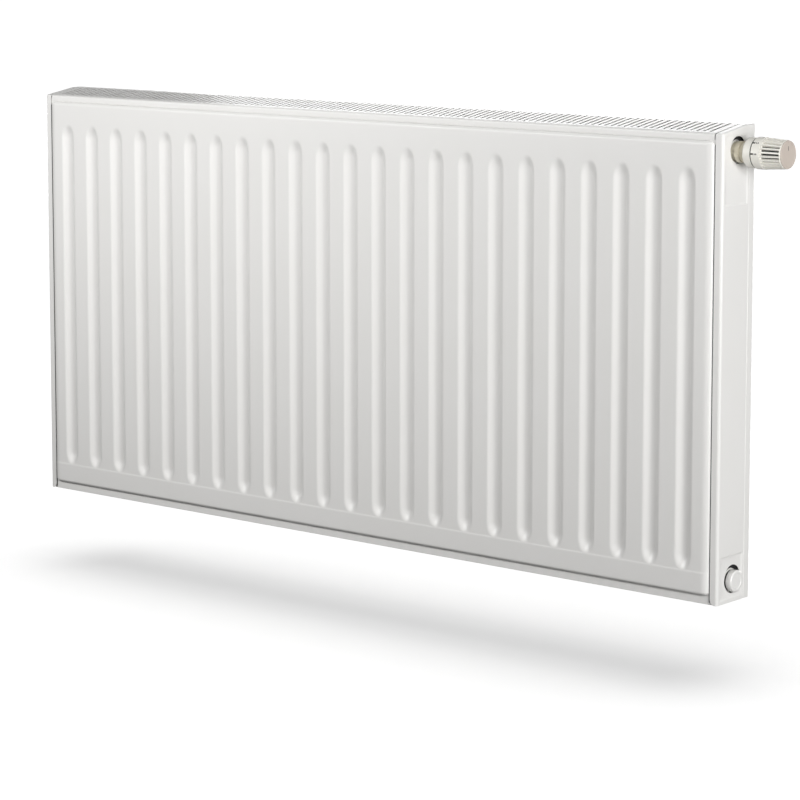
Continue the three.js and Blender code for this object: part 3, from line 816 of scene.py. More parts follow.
@dataclass
class SideCover:
    """A channel-shaped cover with a rounded front corner, two holes and a shallow recess round each.

    Args:
        end: The end of the radiator that it closes.
        sheet: The steel's thickness.
        flange: The width of the front, top and rear flanges.
        front_round: The radius of the fold to the front flange.
        rear_round: The radius of the fold to the rear flange.
        top_round: The radius of the fold along the top.
        slope_run: How far back the top edge goes on rising.
        front_top: The top edge's height at the front.
        port_low: The height of the lower port's axis.
        port_high: The height of the upper port's axis.
        hole_low: The lower hole's radius.
        hole_high: The upper hole's radius.
        hole_rise: How far above the port's axis a hole's centre lies.
        hole_edge: How far a hole's edge is drawn in.
        foot_round: The radius of the front flange's lower corner.
        recess_depth: The recesses' depth.
        recess_slope: The width of their sloping sides.
        recess_front: From the front face to a recess.
        recess_rear: From the rear face to a recess.
        recess_levels: Each recess's bottom and top.
        crease_inset: From the rear face to the upright crease.
        crease_width: The crease's width.
        crease_depth: Its depth.
        shadow_strip_width: How far the black strip of painted shadow stands out from a flange.
        bands: Where the wall's plain band starts and ends.
        segments: Steps round a hole.
        fold_steps: Steps round the top's fold.
    """

    end: End
    sheet: float = 1.2
    flange: float = 11.0
    front_round: float = 4.0
    rear_round: float = 2.0
    top_round: float = 2.2
    slope_run: float = 53.7
    front_top: float = 591.0
    port_low: float = 27.0
    port_high: float = 567.0
    hole_low: float = 18.0
    hole_high: float = 17.0
    hole_rise: float = 2.2
    hole_edge: float = 0.35
    foot_round: float = 7.0
    recess_depth: float = 1.4
    recess_slope: float = 3.2
    recess_front: float = 6.0
    recess_rear: float = 14.5
    recess_levels: tuple[tuple[float, float], ...] = ((4.0, 61.0), (500.0, 589.2))
    crease_inset: float = 13.0
    crease_width: float = 1.4
    crease_depth: float = 0.35
    shadow_strip_width: float = 1.1
    bands: tuple[float, float] = (110.0, 430.0)
    segments: int = 48
    fold_steps: int = 5

    def top_at(self, y: float, front: float, height: float) -> float:
        """The top edge's height, rising from the front and then level. Args: y, the front's y and the top."""
        rise = min(max((y - front) / self.slope_run, 0.0), 1.0)
        return self.front_top + (height - self.front_top) * rise

    def hole_panel(
        self, surface: Surface, x: float, span: Point2, port: Point2, radius: float, level: Point2
    ) -> list[Point3]:
        """The recess round a port, from the hole's edge out to the wall's face.

        Args:
            surface: What gets the faces.
            x: The wall's face.
            span: The recess's front and rear limits.
            port: The port's y and z.
            radius: The hole's radius.
            level: The recess's bottom and top.

        Returns:
            The recess's outer loop, on the wall's face.
        """
        cy, cz = port
        y0, y1 = span
        z0, z1 = level
        corners = [math.atan2(z - cz, y - cy) for y in (y0, y1) for z in (z0, z1)]
        even = [2 * math.pi * i / self.segments - math.pi for i in range(self.segments)]
        angles = sorted([a for a in even if all(abs(a - c) > 0.03 for c in corners)] + corners)

        def ring(r: float, drop: float) -> list[Point3]:
            """A circle round the port. Args: its radius and depth."""
            return [(x - drop, cy + r * math.cos(a), cz + r * math.sin(a)) for a in angles]

        def frame(inset: float, drop: float) -> list[Point3]:
            """Finds the recess's outline at a depth.

            Args:
                inset: How far the outline is drawn in.
                drop: The depth.

            Returns:
                A point for each angle.
            """
            loop = []
            for a in angles:
                c, s = math.cos(a), math.sin(a)
                reach_y = ((y1 if c > 0 else y0) - cy) / c if abs(c) > 1e-9 else math.inf
                reach_z = ((z1 if s > 0 else z0) - cz) / s if abs(s) > 1e-9 else math.inf
                reach = min(reach_y, reach_z)
                y, z = cy + reach * c, cz + reach * s
                y = min(max(y, y0 + inset), y1 - inset)
                z = min(max(z, z0 + inset), z1 - inset)
                loop.append((x - drop, y, z))
            return loop

        slope, depth = self.recess_slope, self.recess_depth
        edge = self.hole_edge
        loops = [ring(radius, depth + edge), ring(radius + edge, depth), frame(slope, depth)]
        loops += [frame(slope * 0.5, depth * 0.5), frame(0.0, 0.0)]
        surface.loft(loops, closed=True)
        return loops[-1]

    def build(self) -> bpy.types.Object:
        """Makes the cover in place of its CAD node.

        Returns:
            The object.
        """
        node = f"side_cover_{self.end.value}"
        low, high = box_mm(node)
        wall = max(abs(low.x), abs(high.x))
        inside = wall - self.flange
        front, rear, height = low.y, high.y, high.z
        mid = (front + rear) / 2
        surface = Surface()
        y0, y1 = front + self.front_round, rear - self.crease_inset
        cuts = (0.0, *self.bands)

        def top(y: float) -> float:
            """The top edge where the rounded fold begins. Args: y."""
            return self.top_at(y, front, height) - self.top_round

        # The wall: a plain band between two bands that each hold a recess and a hole.
        slope_end = front + self.slope_run
        span = (front + self.recess_front, rear - self.recess_rear)
        for level, port, radius in (
            (self.recess_levels[0], self.port_low, self.hole_low),
            (self.recess_levels[1], self.port_high, self.hole_high),
        ):
            loop = self.hole_panel(surface, wall, span, (mid, port + self.hole_rise), radius, level)
            upper = port > self.bands[1]
            base = self.bands[1] if upper else 0.0
            roof = [(y1, top(y1)), (slope_end, top(slope_end)), (y0, top(y0))]
            roof = roof if upper else [(y1, self.bands[0]), (y0, self.bands[0])]
            self.frame_faces(surface, wall, loop, (y0, y1), base, roof, span, level)
        low_band, high_band = self.bands
        plain = [(y0, low_band), (y1, low_band), (y1, high_band), (y0, high_band)]
        surface.face([(wall, y, z) for y, z in plain])

        # The folds to the front and rear flanges.
        plan = fillet(
            [(inside + self.foot_round, front), (wall, front), (wall, y1)], [0, self.front_round, 0], 6
        )[:-1]
        crease = [
            (wall - self.crease_depth * deep, y1 + self.crease_width * across)
            for across, deep in ((0, 0), (0.4, 1), (0.6, 1), (1, 0))
        ]
        rear_fold = fillet([(wall, y1), (wall, rear), (inside, rear)], [0, self.rear_round, 0], 4)
        rear_plan = crease + rear_fold[1:]
        for line in (plan, rear_plan):
            rows = [[(x, y, z) for x, y in line] for z in cuts]
            rows.append([(x, y, top(y)) for x, y in line])
            surface.loft(rows)
        self.front_flange(surface, inside, front, cuts, top(front))
        self.top_fold(surface, wall, front, rear, plan, rear_plan, slope_end, top)
        self.shadow_strips(inside, front, rear)
        if self.end is End.LEFT:
            surface = surface.mirrored()
        piece = surface.build(f"{node}_folded", [WHITE_ENAMEL], self.sheet)
        place(piece, "radiator", WHITE_ENAMEL.slot, node)
        return piece

    def shadow_strips(self, inside: float, front: float, rear: float) -> None:
        """A thin black strip along the free edge of each flange, put there as painted shadow for the dark gap
        beside the panel.

        Args:
            inside: The flanges' free edge.
            front: The front flange's face.
            rear: The rear flange's face.
        """
        # Painted shadow: black strips where the gap beside the flange shows only shade.
        surface = Surface()
        x0, x1 = inside - self.shadow_strip_width, inside - 0.05
        z0, z1 = self.foot_round * 0.5, self.front_top - 15.0
        for face, inward in ((front, 1.0), (rear, -1.0)):
            y0, y1 = face + inward * 0.3, face + inward * 1.1
            rows = [[(x0, y0, z), (x1, y0, z), (x1, y1, z), (x0, y1, z)] for z in (z0, z1)]
            surface.loft(rows, closed=True)
            surface.face(rows[0])
            surface.face(rows[1])
        if self.end is End.LEFT:
            surface = surface.mirrored()
        piece = surface.build(f"side_cover_{self.end.value}_edging", [RUBBER_AND_PAINTED_SHADOW])
        place(piece, "radiator", RUBBER_AND_PAINTED_SHADOW.slot)

    def frame_faces(
        self,
        surface: Surface,
        x: float,
        loop: Sequence[Point3],
        sides: Point2,
        base: float,
        roof: Sequence[Point2],
        span: Point2,
        level: Point2,
    ) -> None:
        """The flat wall round a recess, as four faces that share the recess's points.

        Args:
            surface: What gets the faces.
            x: The wall's face.
            loop: The recess's outer loop.
            sides: The wall's front and rear limits.
            base: The band's bottom.
            roof: The band's top line, from the rear to the front.
            span: The recess's front and rear limits.
            level: The recess's bottom and top.
        """
        (y0, y1), (r0, r1), (z0, z1) = sides, span, level
        near = 1e-6
        bottom = sorted((p for p in loop if abs(p[2] - z0) < near), key=lambda p: p[1])
        crown = sorted((p for p in loop if abs(p[2] - z1) < near), key=lambda p: p[1])
        front = sorted((p for p in loop if abs(p[1] - r0) < near), key=lambda p: p[2])
        back = sorted((p for p in loop if abs(p[1] - r1) < near), key=lambda p: p[2])
        surface.face([(x, y0, base), (x, y1, base), *reversed(bottom)])
        surface.face([*crown, *[(x, y, z) for y, z in roof]])
        surface.face([(x, y0, base), *front, (x, *roof[-1])])
        surface.face([(x, y1, base), (x, *roof[0]), *reversed(back)])

    def front_flange(
        self, surface: Surface, inside: float, front: float, cuts: Sequence[float], top: float
    ) -> None:
        """The narrow front flange, with its lower corner rounded off.

        Args:
            surface: What gets the faces.
            inside: The flange's free edge.
            front: The flange's face.
            cuts: The wall's heights.
            top: The flange's top.
        """
        r = self.foot_round
        arc = [math.pi + math.pi / 2 * i / 6 for i in range(7)]
        curve = [(inside + r + r * math.cos(a), front, r + r * math.sin(a)) for a in arc]
        fold = [(inside + r, front, z) for z in (*cuts, top)]
        surface.face([*fold, (inside, front, top), *curve[:-1]])

    def top_fold(
        self,
        surface: Surface,
        wall: float,
        front: float,
        rear: float,
        plan: Sequence[Point2],
        rear_plan: Sequence[Point2],
        slope_end: float,
        top: Callable[[float], float],
    ) -> None:
        """The rounded fold along the top edge of the wall, and the narrow flange it leads to.

        Args:
            surface: What gets the faces.
            wall: The wall's face.
            front: The front face.
            rear: The rear face.
            plan: The front fold's plan.
            rear_plan: The rear fold's plan.
            slope_end: Where the top edge becomes level.
            top: The fold's start for each y.
        """
        r = self.top_round
        path = [(wall - self.flange, front), *plan, (wall, slope_end), *rear_plan]
        mid = (front + rear) / 2
        rows = []
        for i in range(self.fold_steps + 1):
            turn = math.pi / 2 * i / self.fold_steps
            inset, rise = r * (1 - math.cos(turn)), r * math.sin(turn)
            row = []
            for x, y in path:
                pull = min(max((x - (wall - self.front_round)) / self.front_round, 0.0), 1.0)
                shift = math.copysign(inset * (1 - pull), mid - y)
                row.append((x - inset * pull, y + shift, top(y) + rise))
            rows.append(row)
        surface.loft(rows)
        crown, bend = rows[-1], len(plan) + 1
        corner = (wall - self.flange, *crown[bend][1:])
        surface.face([*crown[: bend + 1], corner])
        surface.face([corner, *crown[bend:]])


# ---- top grille -----------------------------------------------------------------------------------------


@dataclass
class TopGrille:
    """A sheet bent over both panels, with round-ended slots across its whole depth.

    Args:
        sheet: The steel's thickness.
        slot_pitch: From one slot to the next.
        slot_width: A slot's width.
        slot_count: How many slots there are.
        slot_start: From the front face to the slots' tiles.
        slot_stop: From the front face to the tiles' far end.
        front_round: The radius of the front fold.
        top_round: The radius where the slope meets the level part.
        rear_round: The radius of the rear fold.
        front_top: The height of the front fold's corner.
        slope_run: How far back the top goes on rising.
    """

    sheet: float = 1.2
    slot_pitch: float = 10.0
    slot_width: float = 3.6
    slot_count: int = 116
    slot_start: float = 4.7
    slot_stop: float = 61.7
    front_round: float = 3.4
    top_round: float = 30.0
    rear_round: float = 3.0
    front_top: float = 591.0
    slope_run: float = 53.7

    def profile(self, front: float, rear: float, height: float, lip: float) -> list[Point2]:
        """The bent sheet's outer line in the YZ plane, from the front lip over to the rear lip.

        Args:
            front: The front lip's face.
            rear: The rear lip's face.
            height: The top.
            lip: The lips' lower edge.

        Returns:
            Points as y and z.
        """
        corners = [
            (front, lip),
            (front, self.front_top),
            (front + self.slope_run, height),
            (rear, height),
            (rear, lip),
        ]
        return fillet(corners, [0, self.front_round, self.top_round, self.rear_round, 0], 6)

    def build(self) -> bpy.types.Object:
        """Makes the grille in place of its CAD node.

        Returns:
            The object.
        """
        low, high = box_mm("top_grille")
        line = self.profile(low.y, high.y, high.z, low.z)
        for offset in (self.slot_start, self.slot_stop):
            i = next(k for k in range(1, len(line)) if line[k][0] - low.y >= offset)
            (ya, za), (yb, zb) = line[i - 1], line[i]
            t = (low.y + offset - ya) / (yb - ya)
            line.insert(i, (low.y + offset, za + (zb - za) * t))
        lengths = [0.0]
        for a, b in zip(line, line[1:]):
            lengths.append(lengths[-1] + math.dist(a, b))
        start, stop = (
            next(s for s, p in zip(lengths, line) if abs(p[0] - low.y - offset) < 1e-6)
            for offset in (self.slot_start, self.slot_stop)
        )

        def at(s: float) -> Point2:
            """Finds a point of the profile.

            Args:
                s: How far along the profile it lies.

            Returns:
                The point's y and z.
            """
            i = next((k for k in range(1, len(lengths)) if lengths[k] >= s - 1e-9), len(lengths) - 1)
            t = (s - lengths[i - 1]) / (lengths[i] - lengths[i - 1])
            (ya, za), (yb, zb) = line[i - 1], line[i]
            return (ya + (yb - ya) * t, za + (zb - za) * t)

        def on(x: float, s: float) -> Point3:
            """A point of the sheet. Args: the place along the length, and along the profile."""
            return (x, *at(s))

        surface = Surface()
        half_pitch = self.slot_pitch / 2
        half_slot = self.slot_width / 2
        steps = [i * math.pi / 8 for i in range(9)]
        reach = [half_pitch / max(abs(math.cos(a)), math.sin(a)) for a in steps]
        rows_s = sorted({start, stop, *[s for s in lengths if start < s < stop]})
        near, far = start + half_pitch, stop - half_pitch
        inner_rows = [near, *[s for s in rows_s if near + 0.5 < s < far - 0.5], far]
        xs: list[float] = []
        for k in range(self.slot_count):
            centre = (k - (self.slot_count - 1) / 2) * self.slot_pitch
            hole: list[Point3] = []
            rim: list[Point3] = []
            for a, r in zip(steps, reach):
                hole.append(on(centre + half_slot * math.cos(a), far + half_slot * math.sin(a)))
                rim.append(on(centre + r * math.cos(a), far + r * math.sin(a)))
            hole.extend(on(centre - half_slot, s) for s in reversed(inner_rows[1:-1]))
            rim.extend(on(centre - half_pitch, s) for s in reversed(inner_rows[1:-1]))
            for a, r in zip(steps, reach):
                hole.append(on(centre - half_slot * math.cos(a), near - half_slot * math.sin(a)))
                rim.append(on(centre - r * math.cos(a), near - r * math.sin(a)))
            hole.extend(on(centre + half_slot, s) for s in inner_rows[1:-1])
            rim.extend(on(centre + half_pitch, s) for s in inner_rows[1:-1])
            surface.strip(rim, hole, closed=True)
            edge = [r * math.cos(a) for a, r in zip(steps, reach) if r * math.sin(a) > half_pitch - 1e-6]
            xs.extend(centre + offset for offset in sorted(edge)[:-1])
        xs.append(self.slot_count / 2 * self.slot_pitch)
        wide = [-high.x, *xs, high.x]
        before = [s for s in lengths if s <= start + 1e-9]
        after = [s for s in lengths if s >= stop - 1e-9]
        for rows in (before, after):
            surface.loft([[on(x, s) for x in wide] for s in rows])
        ends = sorted({start, stop, *inner_rows, *self.side_marks(near, far, half_pitch, steps)})
        for columns in (wide[:2], wide[-2:]):
            surface.loft([[on(x, s) for x in columns] for s in ends])
        piece = surface.build("top_grille_slotted", [WHITE_ENAMEL], self.sheet)
        place(piece, "radiator", WHITE_ENAMEL.slot, "top_grille")
        return piece

    @staticmethod
    def side_marks(near: float, far: float, half_pitch: float, steps: Sequence[float]) -> list[float]:
        """Finds where the tiles have points on their sides beside the slots' round ends.

        Args:
            near: The front round ends' centre along the profile.
            far: The rear round ends' centre.
            half_pitch: Half the distance between two slots.
            steps: The angles of the tiles' points.

        Returns:
            Places along the profile.
        """
        rises = [half_pitch * math.tan(a) for a in steps if 0 < a < math.pi / 4 - 1e-6]
        return [near - r for r in rises] + [far + r for r in rises]


# ---- thermostatic head ----------------------------------------------------------------------------------


@dataclass
class ThermostaticHead:
    """The union nut, base, scale collar, slotted grip and end cap, all turned about the valve's axis.

    Args:
        nut_radius: The union nut's radius.
        nut_bore: The radius of its bore.
        nut_groove: Where the groove round the nut starts and ends.
        sleeve_run: How far behind the nut its sleeve starts and ends.
        base_radius: The fixed base's radius.
        base_bore: The radius of the base's bore round the valve.
        capsule_bore: The radius of its bore round the sensor capsule.
        capsule_seat: How deep in the base that bore starts.
        spigot_radius: The radius of the spigot that carries the turning parts.
        spigot_play: The gap between the spigot and a turning part.
        stop_gap: The gap between the base and the collar, which holds a black ring of painted shadow.
        collar_radius: The collar's radius.
        cap_radius: The cap's radius.
        cap_edge: How much of the cap shows from the side.
        cap_dish: The depth of the cap's dish.
        index_line: The index line's start and end, from the cap's middle.
        index_half: Half the line's width.
        slots: How many slots the grip has.
        slot_half: Half a slot's width.
        slot_depth: A slot's depth.
        slot_margin: From a slot's end to the grip's end.
        segments: Steps round the axis.
        mark_angles: Where the printed marks stand, in degrees.
        mark_strokes: Each stroke's start, end and half width.
    """

    nut_radius: float = 13.5
    nut_bore: float = 11.3
    nut_groove: tuple[float, float] = (6.6, 8.2)
    sleeve_run: tuple[float, float] = (5.0, 0.1)
    base_radius: float = 19.0
    base_bore: float = 9.0
    capsule_bore: float = 12.0
    capsule_seat: float = 7.2
    spigot_radius: float = 14.5
    spigot_play: float = 0.7
    stop_gap: float = 1.9
    collar_radius: float = 20.0
    cap_radius: float = 18.0
    cap_edge: float = 1.3
    cap_dish: float = 0.35
    index_line: tuple[float, float] = (5.0, 10.5)
    index_half: float = 0.35
    slots: int = 24
    slot_half: float = 1.3
    slot_depth: float = 3.0
    slot_margin: float = 1.0
    segments: int = 96
    mark_angles: tuple[float, ...] = (180.0, 138.0, 96.0, 54.0, 12.0, -30.0, -72.0)
    mark_strokes: tuple[Point3, ...] = ((0.3, 4.0, 1.0), (5.0, 6.4, 0.9), (7.3, 8.7, 0.9))

    def axis(self) -> Point3:
        """A point on the valve's axis, on the collar's back face. Returns: the point in millimetres."""
        low, high = box_mm("scale_collar")
        return (low.x, (low.y + high.y) / 2, (low.z + high.z) / 2)

    def turned(
        self,
        name: str,
        body: str,
        finish: Finish,
        profile: Sequence[Point2],
        node: str,
        replaces: bool = True,
    ) -> None:
        """Makes one turned piece from a profile measured from a node's back face.

        Args:
            name: The piece's name.
            body: The body it rides on.
            finish: Its finish.
            profile: Distance from the node's back face, and radius.
            node: The CAD node that it is measured from.
            replaces: True if it also stands for that node.
        """
        _, cy, cz = self.axis()
        surface = Surface()
        surface.revolve(profile, self.segments, (box_mm(node)[0].x, cy, cz))
        place(surface.build(name, [finish]), body, finish.slot, *([node] if replaces else []))

    def nut(self) -> None:
        """The union nut, with a groove round it, and the sleeve behind it."""
        low, high = box_mm("union_nut")
        length, r, bore = high.x - low.x, self.nut_radius, self.nut_bore
        g0, g1 = self.nut_groove
        corners = [
            (0, bore), (0, r), (g0, r), (g0 + 0.3, r - 1.3), (g1 - 0.3, r - 1.3), (g1, r - 0.3),
            (length, r - 0.3), (length, bore), (0, bore),
        ]
        outline = fillet(corners, [0, 0.6, 0.4, 0.3, 0.3, 0.4, 0.5, 0, 0])
        self.turned("union_nut_ringed", "radiator", NUT_ABS, outline, "union_nut")
        back, front = self.sleeve_run
        ring = [(-back, bore), (-back, r - 0.8), (-front, r - 0.8), (-front, bore), (-back, bore)]
        self.turned("union_nut_sleeve", "radiator", NUT_ABS, ring, "union_nut", False)

    def base(self) -> None:
        """The fixed base, the spigot that carries the turning parts, and a black ring in the gap that is
        painted shadow.
        """
        collar = box_mm("scale_collar")[0].x
        low, high = box_mm("head_base")
        length, shoulder, r = high.x - low.x, collar - self.stop_gap - low.x, self.base_radius
        inner, outer, seat = self.base_bore, self.capsule_bore, self.capsule_seat
        corners = [
            (0, inner), (0, r - 2.4), (2.6, r), (shoulder, r + 0.2), (shoulder, self.spigot_radius),
            (length, self.spigot_radius), (length, outer), (seat, outer), (seat, inner), (0, inner),
        ]
        outline = fillet(corners, [0, 1.2, 2.0, 0.5, 0, 0, 0, 0, 0, 0])
        self.turned("head_base_moulded", "radiator", CREAM_ABS, outline, "head_base")
        # Painted shadow: a black ring fills the gap between the base and the collar, standing in for its shade.
        stop, edge = self.spigot_radius + 0.1, r - 0.2
        near, far = 0.05 - self.stop_gap, -0.1
        ring = [(near, stop), (near, edge), (far, edge), (far, stop), (near, stop)]
        self.turned("head_gap_painted_shadow", "radiator", SHADOW_BLACK, ring, "scale_collar", False)

    def collar(self) -> None:
        """The scale collar, with its printed dashes and dots."""
        low, high = box_mm("scale_collar")
        length, r = high.x - low.x, self.collar_radius
        bore = self.spigot_radius + self.spigot_play
        corners = [(0, bore), (0, r), (length, r), (length, bore), (0, bore)]
        outline = fillet(corners, [0, 0.5, 0.35, 0, 0])
        self.turned("scale_collar_moulded", "handwheel", CREAM_ABS, outline, "scale_collar")
        _, cy, cz = self.axis()
        surface = Surface()
        for angle in self.mark_angles:
            for start, stop, half in self.mark_strokes:
                self.mark(surface, (low.x, cy, cz), math.radians(angle), start, stop, half)
        place(surface.build("scale_marks_printed", [PRINT_INK]), "handwheel", PRINT_INK.slot)

    def mark(
        self, surface: Surface, centre: Point3, angle: float, start: float, stop: float, half: float
    ) -> None:
        """One printed mark, as a thin pad on the collar.

        Args:
            surface: What gets the faces.
            centre: A point on the axis, on the collar's back face.
            angle: The mark's place round the axis.
            start: Its near end along the axis.
            stop: Its far end.
            half: Half its width.
        """
        rows = []
        for r in (self.collar_radius - 0.1, self.collar_radius + 0.05):
            turn = half / self.collar_radius
            corners = [(start, -turn), (stop, -turn), (stop, turn), (start, turn)]
            rows.append(
                [
                    (centre[0] + x, centre[1] + r * math.cos(angle + a), centre[2] + r * math.sin(angle + a))
                    for x, a in corners
                ]
            )
        surface.strip(rows[0], rows[1], closed=True)
        surface.face(rows[1])
        surface.face(reversed(rows[0]))

    def grip(self) -> None:
        """The grip: a tapering sleeve whose long slots have black floors, painted shadow for their depth."""
        low = box_mm("hand_grip")[0]
        _, cy, cz = self.axis()
        stop = box_mm("end_cap")[1].x - self.cap_edge - 0.2
        length = stop - low.x
        first, last = self.slot_margin, length - self.slot_margin
        half = self.slot_half
        ends = [0.0, 0.35, 0.65, 0.85, 0.97, 1.06, 1.2]
        alongs = {0.0, 0.5, length / 2, length - 0.7, length}
        alongs |= {first + half * (1 - e) for e in ends} | {last - half * (1 - e) for e in ends}
        alongs = sorted(a for a in alongs if 0.0 <= a <= length)
        sector = 2 * math.pi / self.slots
        columns = [0.0, 0.3, 0.6, 0.8, 0.93, 1.0, 1.12]
        offsets = sorted({s * half * c for c in columns for s in (-1, 1)})

        def radius(along: float) -> float:
            """The sleeve's outer radius. Args: the distance from its back face."""
            root = self.collar_radius - 0.3
            return root + (self.cap_radius - root) * along / length

        def sunk(along: float, across: float) -> float:
            """Finds how far a slot has sunk.

            Args:
                along: The place along the axis.
                across: The place across the slot.

            Returns:
                0 at the sleeve's face, and 1 at the slot's floor.
            """
            beyond = max(first + half - along, along - last + half, 0.0)
            away = math.hypot(beyond, across) / half
            return 1.0 - ease(away, 0.98, 1.08)

        ridge = 9.0  # well clear of a slot, for the middle of the bar between two
        angles, across = [], []
        for k in range(self.slots):
            for offset in offsets:
                angles.append(k * sector + offset / self.collar_radius)
                across.append(offset)
            angles.append((k + 0.5) * sector)
            across.append(ridge)
        surface = Surface()
        rows, depth = [], []
        for along in alongs:
            edge = 0.3 * (1 - min(along, 0.5) / 0.5) + 0.5 * max(along - length + 0.7, 0) / 0.7
            row, sink = [], []
            for angle, offset in zip(angles, across):
                s = sunk(along, offset)
                r = radius(along) - edge - self.slot_depth * s
                row.append((low.x + along, cy + r * math.cos(angle), cz + r * math.sin(angle)))
                sink.append(s)
            rows.append(row)
            depth.append(sink)
        count = len(angles)
        for i in range(len(rows) - 1):
            for j in range(count):
                k = (j + 1) % count
                # Slot floors get the flat black of painted shadow.
                floor = min(depth[i][j], depth[i][k], depth[i + 1][j], depth[i + 1][k]) > 0.9
                surface.face((rows[i][j], rows[i][k], rows[i + 1][k], rows[i + 1][j]), int(floor))
        bore = self.spigot_radius + self.spigot_play
        inner = [
            [(x, cy + bore * math.cos(a), cz + bore * math.sin(a)) for a in angles] for x in (low.x, stop)
        ]
        surface.strip(rows[0], inner[0], closed=True)
        surface.strip(rows[-1], inner[1], closed=True)
        surface.loft(inner, closed=True)
        piece = surface.build("hand_grip_slotted", [CREAM_ABS, SHADOW_BLACK])
        place(piece, "handwheel", CREAM_ABS.slot, "hand_grip")

    def cap(self) -> None:
        """The end cap: a disc with a rounded edge, a shallow dish and one moulded index line."""
        low, high = box_mm("end_cap")
        length, r = high.x - low.x, self.cap_radius - 0.35
        rim, plug, dish = length - self.cap_edge, self.spigot_radius + 0.4, length - self.cap_dish
        corners = [
            (0, 0), (0, plug), (rim, plug), (rim, r), (length, r - 0.3), (length, r - 2.6),
            (dish, r - 3.2), (dish, 0),
        ]
        outline = fillet(corners, [0, 0, 0, 0.2, 0.8, 0.4, 0.4, 0])
        self.turned("end_cap_dished", "handwheel", CAP_ABS, outline, "end_cap")
        _, cy, cz = self.axis()
        surface = Surface()
        face = high.x - self.cap_dish
        (z0, z1), half = self.index_line, self.index_half
        tip = half - 0.01
        ring = fillet([(-half, z0), (-half, z1), (half, z1), (half, z0)], [0, tip, tip, 0], 4)
        near = [(face - 0.05, cy + y, cz + z) for y, z in ring]
        far = [(face + 0.12, cy + y, cz + z) for y, z in ring]
        surface.strip(near, far, closed=True)
        surface.face(far)
        surface.face(reversed(near))
        place(surface.build("end_cap_index_line", [PRINT_INK]), "handwheel", PRINT_INK.slot)

    def build(self) -> None:
        """Makes the whole head."""
        self.nut()
        self.base()
        self.collar()
        self.grip()
        self.cap()


# ---- tees, plugs and the air vent -----------------------------------------------------------------------


